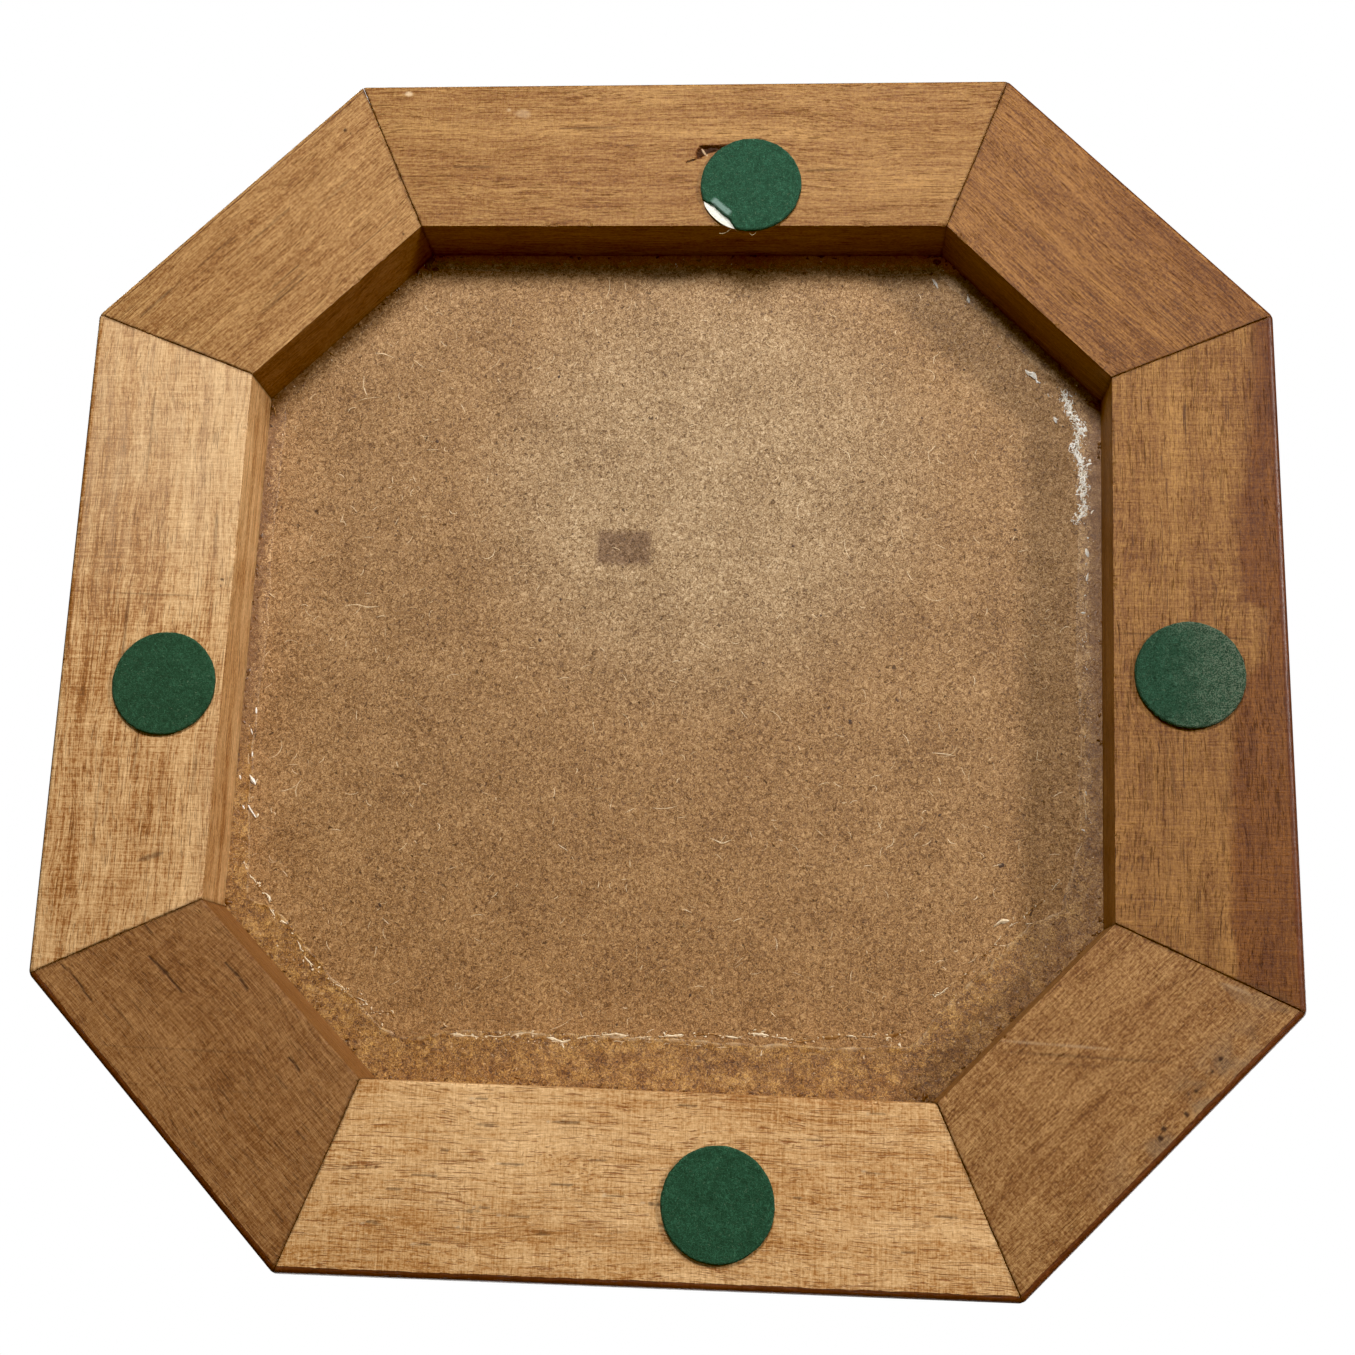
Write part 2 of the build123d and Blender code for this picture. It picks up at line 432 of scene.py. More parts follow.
    # authored marks
    col = g.mix(g.math("MULTIPLY", mk[2], 0.85), col, srgb(112, 100, 84))  # grey dirt
    red = g.mix(mk2[0], (1, 1, 1, 1), (0.545, 0.365, 0.19, 1))
    col = g.mix(1.0, col, red, "MULTIPLY")                           # red-brown stain; on the inner walls of the front left and front rails the same mask is painted shade
    col = g.mix(mk2[1], col, srgb(222, 190, 150))                    # pale smudge; also painted sheen on the left rail's front part and painted light on the front right rail's inner wall
    col = g.mix(mk2[2], col, srgb(54, 26, 12))                       # cracks and dark marks
    # stained, varnished outside
    st = g.ramp(tone, [(0.0, srgb(*stain[1])), (0.5, srgb(*[(p + q) / 2 for p, q in zip(*stain)])), (1.0, srgb(*stain[0]))])
    edge = g.noise(g.scale(gr, (0.8, 0.8, 0.8), (3, 3, 3)), 1.0, 3.0)
    smask = g.remap(g.math("MULTIPLY_ADD", edge, 0.5, g.math("SUBTRACT", mk[1], 0.25)), 0.42, 0.58)
    st = g.mix(g.math("MULTIPLY", dash, 0.5), st, srgb(38, 18, 9))
    scuff = g.noise(g.scale(gr, (0.35, 0.5, 0.5), (2, 8, 5)), 1.0, 5.0, 0.7)
    st = g.mix(g.remap(scuff, 0.66, 0.80, 0.0, 0.45), st, srgb(164, 108, 62))
    col = g.mix(smask, col, st)
    # the dried brown line in each mitre, uneven in depth of colour; the same colour also darkens the foot of each
    # inner wall
    seam = g.noise(g.scale(gr, (0.9, 0.9, 0.9), (8, 2, 6)), 1.0, 3.0, 0.6)
    seamc = g.ramp(seam, [(0.35, srgb(48, 24, 10)), (0.65, srgb(108, 68, 34))])
    col = g.mix(g.math("MULTIPLY", mk[0], g.remap(seam, 0.25, 0.6, 1.0, 0.72)), col, seamc)
    height = g.wsum((0.5, n_fine), (0.45, n_str), (0.45, n_mott), (0.5, n_saw), (0.4, n_tick), (-0.45, dash), (-0.2, nick), (0.25, pale))
    soft = g.math("MULTIPLY_ADD", smask, -0.65, 1.0)
    height = g.math("MULTIPLY", height, soft)
    rr = g.math("MULTIPLY_ADD", n_mott, 0.22, rough - 0.11)
    rr = g.math("ADD", rr, g.math("MULTIPLY", dash, 0.12))
    rr = g.math("ADD", rr, g.math("MULTIPLY", smask, -0.2))
    rr = g.math("ADD", rr, g.math("MULTIPLY", mk2[2], 0.2), clamp=True)
    return g.finish(col, rr, g.bump(height, 0.7, 0.00026))


TONES = {
    # light, mid, dark, pore and settings of each rail's own stock; each gain also carries painted light, scaling the
    # rail to how brightly it is lit
    "front_rail": dict(gain=(0.757, 0.697, 0.508), light=(199, 154, 104), mid=(177, 130, 81), dark=(147, 101, 57), pore=(98, 58, 26),
                       band=0.3, streak=0.5, mott=0.45, saw=0.06, pores=0.8, fuzz=0.35, ticks=0.08, lines=0.65, contrast=5.8, broad=0.15, patch=0.1),
    "front_left_rail": dict(gain=(0.94, 0.935, 0.81), light=(196, 150, 100), mid=(172, 125, 77), dark=(138, 94, 52), pore=(98, 58, 26),
                            band=0.2, streak=0.4, mott=0.5, saw=0.12, pores=0.65, fuzz=0.3, ticks=0.12, contrast=5.2, broad=0.1, patch=0.06, lines=0.95),
    "left_rail": dict(gain=(1.15, 1.14, 1.1), light=(224, 184, 134), mid=(199, 154, 103), dark=(152, 104, 58), pore=(108, 66, 30),
                      band=0.5, streak=0.6, mott=0.4, saw=0.34, pores=0.7, rough=0.5, fuzz=0.35, ticks=0.14, lines=0.9, contrast=6.4, slits=0.6),
    "back_left_rail": dict(gain=(1.30, 1.29, 1.23), light=(152, 109, 66), mid=(132, 90, 50), dark=(108, 70, 36), pore=(66, 38, 18),
                           band=0.18, streak=0.5, mott=0.4, saw=0.3, pores=0.6, fuzz=0.25, ticks=0.2, lines=0.35, contrast=5.5, broad=0.1, patch=0.05),
    "back_rail": dict(gain=(1.30, 1.32, 1.31), light=(218, 176, 126), mid=(195, 150, 99), dark=(158, 112, 64), pore=(122, 66, 24),
                      band=0.35, streak=0.42, mott=0.45, saw=0.3, pores=1.15, fuzz=0.45, ticks=0.55, lines=1.0, contrast=5.3, patch=0.25, slits=0.6),
    "back_right_rail": dict(gain=(1.04, 0.985, 0.80), light=(180, 138, 94), mid=(153, 110, 67), dark=(120, 80, 44), pore=(88, 54, 27),
                            band=0.2, streak=0.38, mott=0.75, saw=0.2, pores=0.45, fuzz=0.5, ticks=0.2, lines=0.2, contrast=5.7, broad=0.15, patch=0.2, slits=0.12),
    "right_rail": dict(gain=(0.92, 0.825, 0.555), light=(180, 137, 90), mid=(152, 109, 66), dark=(118, 78, 43), pore=(74, 43, 20),
                       band=0.3, streak=0.36, mott=0.42, saw=0.3, pores=0.75, fuzz=0.45, ticks=0.2, lines=0.7, contrast=5.6, broad=0.2, slits=0.95),
    "front_right_rail": dict(gain=(0.788, 0.70, 0.40), light=(174, 126, 84), mid=(153, 105, 65), dark=(122, 80, 48), pore=(86, 52, 28),
                             band=0.22, streak=0.5, mott=0.5, saw=0.08, pores=0.55, fuzz=0.3, ticks=0.05, contrast=6.8, broad=0.12, patch=0.06, lines=0.7),
}


# --------------------------------------------------------------------------
# the rails
def rail(i):
    name = RAILS[i]
    a, b = MIT[i], MIT[(i + 1) % 8]
    o0, o1, i0, i1 = a[:2], b[:2], a[2:], b[2:]
    length = float(np.hypot(*(o1 - o0)))
    u = (o1 - o0) / length
    nin = np.array([-u[1], u[0]])
    width = float(((i0 - o0) @ nin + (i1 - o0) @ nin) / 2)
    rb, rt, ri = 1.4, 4.0, 2.0

    ends = np.array([0.055, 0.14, 0.26, 0.42, 0.62, 0.85, 1.12])
    s = np.concatenate([ends, np.linspace(1.5, length - 1.5, int((length - 3) / 0.38)), length - ends[::-1]])
    if name == "front_rail":
        s = np.unique(np.concatenate([s, np.arange(80.0, 93.5, 0.17)]))
        s = s[np.concatenate([[True], np.diff(s) > 0.05])]

    near = np.array([0.0, 0.12, 0.28, 0.48, 0.75])
    w_under = np.concatenate([width - near, np.arange(width - 1.1, rb, -0.38)])
    if name == "front_rail":
        w_under = np.unique(np.concatenate([w_under, np.arange(15.0, 22.0, 0.17)]))[::-1]
        w_under = w_under[np.concatenate([[True], np.diff(w_under) < -0.05])]
    prof = [(w, 0.0) for w in w_under]
    for t in np.radians(np.linspace(0, 90, 8)):
        prof.append((rb - rb * math.sin(t), rb - rb * math.cos(t)))
    for z in np.linspace(rb, H - rt, 18)[1:-1]:
        prof.append((0.0, z))
    for t in np.radians(np.linspace(0, 90, 11)):
        prof.append((rt - rt * math.cos(t), H - rt + rt * math.sin(t)))
    for w in np.linspace(rt, width - ri, 30)[1:-1]:
        prof.append((w, H))
    for t in np.radians(np.linspace(0, 90, 7)):
        prof.append((width - ri + ri * math.sin(t), H - ri + ri * math.cos(t)))
    for z in np.linspace(H - ri, RECESS + PANEL, 9)[1:]:
        prof.append((width, z))
    prof.append((width - 6.0, RECESS + PANEL))
    prof.append((width - 6.0, RECESS))
    for z in list(np.linspace(RECESS, 1.2, 26)) + [0.75, 0.45, 0.22]:
        prof.append((width, z))
    prof = np.array(prof)
    nw = len(w_under)

    S, Wd = np.meshgrid(s, prof[:, 0], indexing="ij")
    Z = np.broadcast_to(prof[:, 1], S.shape).copy()
    idx = np.broadcast_to(np.arange(len(prof)), S.shape)
    under = idx < nw
    wall = idx > len(prof) - 30

    # rounded upright corners at the outside ends
    rc = 2.4
    tang = rc * math.tan(math.radians(22.5))
    t = np.minimum(S, length - S)
    off = np.where(t < tang, rc - np.sqrt(np.maximum(rc * rc - (tang - t) ** 2, 0)), 0)
    We = Wd + off * np.clip(1 - Wd / 5, 0, 1)
    # hand-worn outer faces: a fraction of a millimetre of waviness
    face = (idx >= nw + 8) & (idx < nw + 8 + 16)
    We = We + np.where(face, 0.12 * (fbm(S * 0.03, Z * 0.06, 40 + i, 3) - 0.5), 0)

    om = We / width
    p = S / length
    X = (1 - om) * (o0[0] + (o1[0] - o0[0]) * p) + om * (i0[0] + (i1[0] - i0[0]) * p)
    Y = (1 - om) * (o0[1] + (o1[1] - o0[1]) * p) + om * (i0[1] + (i1[1] - i0[1]) * p)
    gx = (X - (o0[0] + o1[0]) / 2) * u[0] + (Y - (o0[1] + o1[1]) / 2) * u[1]
    din = width - Wd

    def mitre_dist(q0, q1):
        d = (q1 - q0) / np.hypot(*(q1 - q0))
        return np.abs((X - q0[0]) * d[1] - (Y - q0[1]) * d[0])

    dm = np.minimum(mitre_dist(o0, i0), mitre_dist(o1, i1))

    crack = np.zeros(S.shape)
    dirt = np.zeros(S.shape)
    red = np.zeros(S.shape)
    palem = np.zeros(S.shape)
    crev = np.zeros(S.shape)
    dz = np.zeros(S.shape)

    # broken, hand-sanded mitre edges
    rag = 0.16 + 0.34 * fbm(Wd * 0.5, S * 0.02, 3 + i, 3) ** 1.5
    dz += np.where(under, 0.30 * (1 - smooth(0.0, 1.0, dm / rag)), 0)
    open_seam = smooth(0.28, 0.62, fbm(Wd * 0.28, S * 0.004, 9 + i, 4))
    crev = np.maximum(crev, (0.5 + 0.42 * open_seam) * (1 - smooth(0.08, 0.2 + 0.55 * fbm(Wd * 0.7, S * 0.01, 12 + i, 3) ** 2, dm)))

    halo = 0.85 * (0.4 + 0.6 * open_seam) * (1 - smooth(0.15, 0.5 + 0.6 * fbm(Wd * 0.5, S * 0.01, 15 + i, 3), dm))
    crev = np.maximum(crev, halo)
    # chips along the inner arris
    chip = smooth(0.60, 0.82, fbm(S * 0.22, 0.0 * S, 20 + i, 4)) * (0.25 + 0.6 * vnoise(S * 1.7, 0 * S, 31 + i))
    chip = chip + 0.05
    inner_w = np.clip(1 - din / (0.25 + 1.3 * chip), 0, 1)
    inner_z = np.clip(1 - Z / (0.25 + 1.2 * chip), 0, 1)
    dz += np.where(under, 0.62 * chip * inner_w, 0)
    push = np.where(wall & ~under, 0.62 * chip * inner_z, 0)
    X -= nin[0] * push
    Y -= nin[1] * push
    # the shallow waves a saw leaves
    dz += np.where(under, 0.03 * (fbm(gx * 1.1, Wd * 0.03, 50 + i, 3) - 0.5) + 0.10 * (fbm(gx * 0.05, Wd * 0.07, 60 + i, 2) - 0.5), 0) * smooth(0, 0.8, din) * smooth(0, 1.5, Wd - rb)

    def line(pts, wid, strength, deep=0.0, seed=0, into="crack"):
        d, sh = seg_dist(X, Y, pts)
        wob = wid * (0.55 + 0.9 * vnoise(sh * 9, 0 * sh, 70 + seed)) * np.sqrt(np.clip(4 * sh * (1 - sh), 0.08, 1))
        m = (1 - smooth(0.35, 1.0, d / wob)) * strength * under
        if into == "crack":
            np.maximum(crack, m, out=crack)
        elif into == "pale":
            np.maximum(palem, m, out=palem)
        elif into == "dirt":
            np.maximum(dirt, m, out=dirt)
        elif into == "red":
            np.maximum(red, m, out=red)
        if deep:
            dz[:] = np.where(under, np.maximum(dz, dz + deep * (1 - smooth(0.2, 1.0, d / wob))), dz)

    def spot(x, y, r, strength, into, seed=0, stretch=1.0):
        gxx = (X - x) * u[0] + (Y - y) * u[1]
        gyy = (X - x) * nin[0] + (Y - y) * nin[1]
        d = np.hypot(gxx / stretch, gyy) * (0.75 + 0.6 * vnoise(gxx * 1.2, gyy * 1.2, 90 + seed))
        m = (1 - smooth(0.45, 1.0, d / r)) * strength * under
        target = {"crack": crack, "pale": palem, "dirt": dirt, "red": red}[into]
        np.maximum(target, m, out=target)

    stain = np.zeros(S.shape)
    arc0, arc1 = nw, nw + 8
    angle = np.clip((idx - arc0) / 7.0, 0, 1)
    # the stain starts sooner on the lower arc on the back, back left, back right and right rails, and reaches further
    # onto the underside on the back, back right and right rails
    early = {"back_rail": -0.25, "back_right_rail": -0.25, "right_rail": -0.1, "back_left_rail": -0.15, "front_right_rail": 0.28}.get(name, 0.42)
    stain = np.where((idx >= arc0) & (idx < arc1), smooth(early - 0.12, early + 0.22, angle), stain)
    last_top = len(prof) - 29 - 2
    stain = np.where((idx >= arc1) & (idx < last_top), 1.0, stain)
    bleed = {"back_rail": 0.4, "back_right_rail": 0.5, "right_rail": 0.7}.get(name, 0.35)
    stain = np.where(under, 0.9 * (1 - smooth(0, bleed * (0.2 + 1.6 * fbm(gx * 0.25, 0 * gx, 25 + i, 3)), Wd - rb)), stain)

    rng = np.random.default_rng(400 + i)
    if name == "front_rail":
        gouge = [(3.9, -120.2), (3.6, -122.1), (4.6, -123.9), (5.9, -124.05), (12.4, -124.0), (9.4, -122.4), (6.9, -121.6), (5.0, -120.3)]
        sd = poly_inside(X, Y, gouge) + 0.35 * (fbm(X * 0.9, Y * 2.6, 120, 3) - 0.5)
        deep = smooth(-0.05, 0.75, sd) * (0.85 + 0.7 * (fbm(X * 0.5, Y * 3.2, 121, 3) - 0.5))
        dz += np.where(under, deep, 0)
        crack = np.maximum(crack, np.where(under, smooth(0.0, 0.4, sd) * (0.62 + 0.5 * fbm(X * 0.5, Y * 3.4, 122, 3)), 0))
        red = np.maximum(red, np.where(under, smooth(-0.3, 0.1, sd), 0) * 1.0)
        line([(1.4, -119.3), (3.9, -120.2)], 0.35, 0.9, 0.25, 1)
        line([(5.2, -123.3), (6.7, -120.8)], 0.32, 0.95, 0.0, 8, "pale")
        crack = np.where(seg_dist(X, Y, [(5.2, -123.3), (6.7, -120.8)])[0] < 0.22, crack * 0.2, crack)
        spot(-68.6, -138.1, 0.8, 1.0, "pale", 2, 1.8)
        spot(-39.5, -132.6, 1.6, 0.30, "pale", 3, 1.4)
        spot(-43.0, -133.6, 0.6, 0.5, "pale", 4)
        line([(-30, -128.5), (-14, -128.8)], 0.35, 0.5, 0.0, 5)
        line([(28, -117.0), (44, -117.3)], 0.4, 0.45, 0.0, 6)
        line([(-56, -118.2), (-44, -118.0)], 0.3, 0.5, 0.0, 7)
    if name == "front_left_rail":
        spot(-67.2, -100.2, 0.45, 0.85, "crack", 4)
        spot(-66.0, -98.6, 0.5, 0.5, "crack", 3, 1.5)
        spot(-83.9, -128.2, 0.65, 0.9, "crack", 5)
        spot(-82.4, -127.2, 0.4, 0.8, "crack", 6)
        for k in range(9):
            t0 = rng.uniform(-45, 30)
            w0 = rng.uniform(6, 33)
            c = (o0 + o1) / 2 + u * t0 + nin * w0
            line([tuple(c), tuple(c + u * rng.uniform(6, 18) + nin * rng.uniform(-0.6, 0.6))], 0.35, rng.uniform(0.3, 0.55), 0.0, 10 + k)
    if name == "left_rail":
        spot(-104.0, -11.8, 0.55, 0.95, "crack", 11)
        spot(-104.2, -10.2, 0.4, 0.8, "crack", 12)
        line([(-117.3, 54.9), (-111.6, 52.9)], 0.8, 0.5, 0.0, 13)
        line([(-126.0, -9.0), (-126.0, 14.0)], 0.5, 0.35, 0.0, 14)
        line([(-132.0, -8.0), (-110.5, -7.6)], 0.35, 0.35, 0.0, 15)
        for k in range(8):
            y0 = rng.uniform(-60, 40)
            x0 = rng.uniform(-134, -106)
            line([(x0, y0), (x0 + rng.uniform(-0.8, 0.8), y0 + rng.uniform(8, 26))], 0.45, rng.uniform(0.2, 0.42), 0.0, 16 + k)
        # a faint pale band along the inner edge, except at the front; painted sheen: the front part of the rail paler,
        # as where light glances off it
        palem = np.maximum(palem, np.where(under, 0.08 * (1 - smooth(0.5, 6.5, din)) * smooth(-75, -40, Y), 0))
        palem = np.maximum(palem, np.where(under, 0.33 * (1 - smooth(-40, 15, Y)) * (0.5 + fbm(X * 0.5, Y * 0.1, 44, 3)), 0))
    if name == "back_left_rail":
        for k, (p0, p1) in enumerate([((-132.7, 78.1), (-123.9, 87.2)), ((-112.4, 76.1), (-103.4, 84.6)), ((-94.9, 76.9), (-88.6, 83.4)), ((-78.9, 97.0), (-75.7, 100.3))]):
            line([p0, ((p0[0] + p1[0]) / 2 + 0.3, (p0[1] + p1[1]) / 2 - 0.3), p1], 0.4, 0.9, 0.12, 30 + k)
        spot(-100.2, 118.8, 0.45, 1.0, "pale", 30)
        line([(-121, 96), (-84, 96.6)], 0.35, 0.28, 0.0, 36)
        line([(-117, 104), (-80, 105.2)], 0.3, 0.22, 0.0, 37)
        for k in range(12):
            t0 = rng.uniform(-42, 32)
            w0 = rng.uniform(4, 34)
            c = (o0 + o1) / 2 + u * t0 + nin * w0
            line([tuple(c), tuple(c + u * rng.uniform(3, 9) + nin * rng.uniform(-0.3, 0.3))], 0.32, rng.uniform(0.35, 0.75), 0.0, 50 + k)
    if name == "back_rail":
        for k in range(34):
            x0 = rng.uniform(-72, 66)
            y0 = rng.uniform(104, 137)
            line([(x0, y0), (x0 + rng.uniform(2, 7), y0 + rng.uniform(-0.2, 0.2))], 0.32, rng.uniform(0.4, 0.8), 0.05, 60 + k)
            if rng.random() < 0.5:
                spot(x0 - 0.5, y0 + rng.uniform(-0.3, 0.3), 0.35, 0.8, "pale", 60 + k, 2.0)
    if name == "back_right_rail":
        for k, (x, y, r) in enumerate([(115.4, 101.9, 0.8), (117.5, 97.0, 0.6), (110.6, 105.0, 0.7), (109.9, 107.0, 0.9), (122.9, 90.2, 0.8), (121.0, 92.8, 0.5)]):
            spot(x, y, r, 0.95, "crack", 110 + k)
        band = smooth(10.5, 3.0, Wd) if False else 1 - smooth(2.0, 13.0, Wd)
        along = np.exp(-((gx + 14) / 21.0) ** 2)
        dirt = np.maximum(dirt, np.where(under, 0.66 * band * along * smooth(0.30, 0.62, fbm(X * 0.22, Y * 0.22, 130, 4)), 0))
        line([(76.5, 90.3), (112.9, 91.3)], 0.35, 0.42, 0.0, 131)
        line([(74.5, 87.9), (101.8, 89.0)], 0.3, 0.35, 0.0, 132, "pale")
        line([(80.0, 92.2), (99.0, 92.6)], 0.25, 0.3, 0.0, 133)
        line([(123.5, 74.6), (128.5, 76.9), (137.0, 79.6)], 2.4, 0.26, 0.0, 134, "dirt")
        line([(123.8, 74.2), (129.8, 76.6)], 0.6, 0.2, 0.0, 135, "pale")
    if name == "right_rail":
        bx = np.interp(Y, [-80, -58.8, -39.4, -34.6, -20.3, -11.0, -8.7, 2.8, 12.1, 34.5, 56.4, 74.5],
                       [135, 132.9, 132.3, 129.9, 128.7, 129.8, 135.0, 134.5, 126.8, 125.7, 125.4, 126.1])
        red = np.maximum(red, np.where(under, 0.34 * smooth(-25, 20, Y), 0))
        red = np.maximum(red, np.where(under, 0.95 * smooth(-1.6, 2.4, X - bx + 3.2 * (fbm(X * 0.5, Y * 0.13, 140, 4) - 0.5)), 0))
        line([(104, -2.8), (134, -1.8)], 0.35, 0.5, 0.0, 141)
        line([(123.5, 73.4), (129.0, 74.8), (138.0, 77.4)], 1.8, 0.24, 0.0, 140, "dirt")
        for k in range(12):
            y0 = rng.uniform(-66, 52)
            x0 = rng.uniform(103, 130)
            bow = rng.uniform(-0.35, 0.35)
            ln = rng.uniform(3, 13)
            line([(x0, y0), (x0 + bow, y0 + ln * 0.5), (x0 + rng.uniform(-0.3, 0.3), y0 + ln)], 0.3, rng.uniform(0.25, 0.5), 0.0, 142 + k)
    if name == "front_right_rail":
        zone = (1 - smooth(5, 15, Wd + 5 * (fbm(gx * 0.08, Wd * 0.15, 170, 3) - 0.5))) * smooth(-25, 5, gx)
        red = np.maximum(red, np.where(under, 0.42 * zone, 0))
        c = np.array([107.8, -99.0])
        spot(c[0], c[1], 0.5, 0.9, "crack", 171)

    # painted shade: the inner walls of the front left and front rails darkened with the red-brown stain colour;
    # painted light: the front right rail's inner wall made paler. The back left rail's inner wall takes a little of
    # the red-brown too
    if name == "front_left_rail":
        red = np.where(wall & ~under, 0.77, red)
    if name == "back_left_rail":
        red = np.where(wall & ~under, 0.22, red)
    if name == "front_right_rail":
        palem = np.where(wall & ~under, 0.09, palem)
    if name == "front_rail":
        red = np.where(wall & ~under, 0.2, np.maximum(red, np.where(under, 0.11 * smooth(0, 60, X), 0)))
    if name == "left_rail":
        red = np.maximum(red, np.where(under, 0.17 * smooth(-5, 35, Y), 0))
    # pores darker inside the gouge and chips
    crack = np.maximum(crack, np.where(under, 0.35 * chip * inner_w, 0))
    # the foot of each inner wall darker, over its last 1.2 mm above the panel
    crev = np.maximum(crev, np.where(wall & (Z > RECESS - 1.2), 0.30 * smooth(RECESS - 1.2, RECESS, Z), 0))
    Zo = Z0 + Z + np.where(under, dz, 0)

    verts = np.stack([X, Y, Zo], -1).reshape(-1, 3)
    ns, npf = S.shape
    quads = grid_faces(ns, npf, close_v=True, flip=False)
    cap0 = np.arange(npf)[None, :]
    cap1 = ((ns - 1) * npf + np.arange(npf))[None, ::-1]
    gr = np.stack([gx + 311.0 * (i + 1), Wd + 97.0 * (i + 1), Z + 53.0 * i], -1).reshape(-1, 3)
    mk = np.stack([crev, stain, dirt], -1).reshape(-1, 3)
    mk2 = np.stack([red, palem, crack], -1).reshape(-1, 3)
    ob = make_mesh("board_" + name, verts, [quads, cap0, cap1], {
        "gr": ("FLOAT_VECTOR", gr), "mk": ("FLOAT_VECTOR", mk), "mk2": ("FLOAT_VECTOR", mk2)})
    mat = wood("wood_" + name, index=i, **TONES[name])
    return place(ob, mat, [name])


for k in range(8):
    rail(k)


# --------------------------------------------------------------------------
# hardboard panel (the CAD node itself, flat board) with its fibres and flecks
def board_texture(g, c):
    """Pressed fibre texture: tone 0 to 1, dark curled fibres, dark specks, pale fibres, and a height."""
    wv = g.noise(g.scale(c, (0.8, 0.8, 0.8)), 1.0, 2.0, 0.5)
    wu = g.noise(g.scale(c, (0.8, 0.8, 0.8), (9, 9, 9)), 1.0, 2.0)
    cw = g.vmath("ADD", c, g.scale(g.comb(wv, wu, 0.0), (2.6, 2.6, 0)))
    x, y, _ = g.sep(cw)
    diag = g.comb(g.math("ADD", x, y), g.math("SUBTRACT", x, y), 0.0)
    n1 = g.noise(g.scale(c, (3.1, 3.1, 3.1)), 1.0, 4.0, 0.75, 0.8)
    n2 = g.noise(g.scale(cw, (0.9, 4.4, 1.0)), 1.0, 2.0, 0.6, 0.5)
    n3 = g.noise(g.scale(cw, (4.4, 0.9, 1.0), (5, 2, 1)), 1.0, 2.0, 0.6, 0.5)
    n6 = g.noise(g.scale(diag, (0.6, 3.0, 1.0), (1, 2, 6)), 1.0, 2.0, 0.6, 0.5)
    n7 = g.noise(g.scale(diag, (3.0, 0.6, 1.0), (7, 2, 3)), 1.0, 2.0, 0.6, 0.5)
    n4 = g.noise(g.scale(c, (0.07, 0.07, 0.07)), 1.0, 3.0, 0.5)
    n5 = g.noise(g.scale(c, (0.6, 0.6, 0.6), (1, 7, 3)), 1.0, 3.0, 0.6)
    tone = g.wsum((0.6, n1), (0.34, n2), (0.34, n3), (0.3, n6), (0.3, n7), (0.12, n4), (0.08, n5))
    tone = g.math("MULTIPLY_ADD", tone, 1.0 / 2.08, -0.5)
    tone = g.math("MULTIPLY_ADD", tone, 7.9, 0.5, clamp=True)
    # dark curled fibres: thin contour lines of a noise, in short lengths
    r1 = g.noise(g.scale(c, (0.9, 0.9, 0.9), (3, 8, 1)), 1.0, 2.0, 0.5)
    r2 = g.noise(g.scale(c, (0.8, 0.8, 0.8), (8, 1, 4)), 1.0, 2.0, 0.5)
    curl = g.remap(g.math("ABSOLUTE", g.math("SUBTRACT", r1, 0.5)), 0.018, 0.004)
    curl = g.math("MULTIPLY", curl, g.remap(r2, 0.46, 0.56))
    # pale curled fibres the same way
    r3 = g.noise(g.scale(c, (1.1, 1.1, 1.1), (2, 2, 9)), 1.0, 2.0, 0.5)
    r4 = g.noise(g.scale(c, (0.9, 0.9, 0.9), (5, 5, 0)), 1.0, 2.0, 0.5)
    fib = g.remap(g.math("ABSOLUTE", g.math("SUBTRACT", r3, 0.5)), 0.022, 0.006)
    fib = g.math("MULTIPLY", fib, g.remap(r4, 0.50, 0.60))
    # dark flecks of bark in two sizes
    sv = g.scale(cw, (0.5, 0.5, 0.5))
    fleck = g.math("MULTIPLY", g.remap(g.voronoi(sv, 1.0), 0.17, 0.09), g.remap(g.sep(g.voronoi(sv, 1.0, out="Color"))[0], 0.5, 0.56))
    sv2 = g.scale(cw, (1.5, 0.8, 1.2), (3, 1, 0))
    fleck2 = g.math("MULTIPLY", g.remap(g.voronoi(sv2, 1.0), 0.26, 0.14), g.remap(g.sep(g.voronoi(sv2, 1.0, out="Color"))[1], 0.38, 0.46))
    sv3 = g.scale(diag, (0.55, 1.25, 1.0), (7, 4, 0))
    fleck3 = g.math("MULTIPLY", g.remap(g.voronoi(sv3, 1.0), 0.22, 0.12), g.remap(g.sep(g.voronoi(sv3, 1.0, out="Color"))[2], 0.42, 0.5))
    fleck2 = g.math("MAXIMUM", fleck2, fleck3)
    height = g.wsum((0.8, n1), (0.45, n2), (0.45, n3), (0.35, n6), (0.35, n7), (0.5, fib), (-0.5, curl), (-0.8, fleck))
    return tone, curl, fib, fleck, fleck2, n1, height


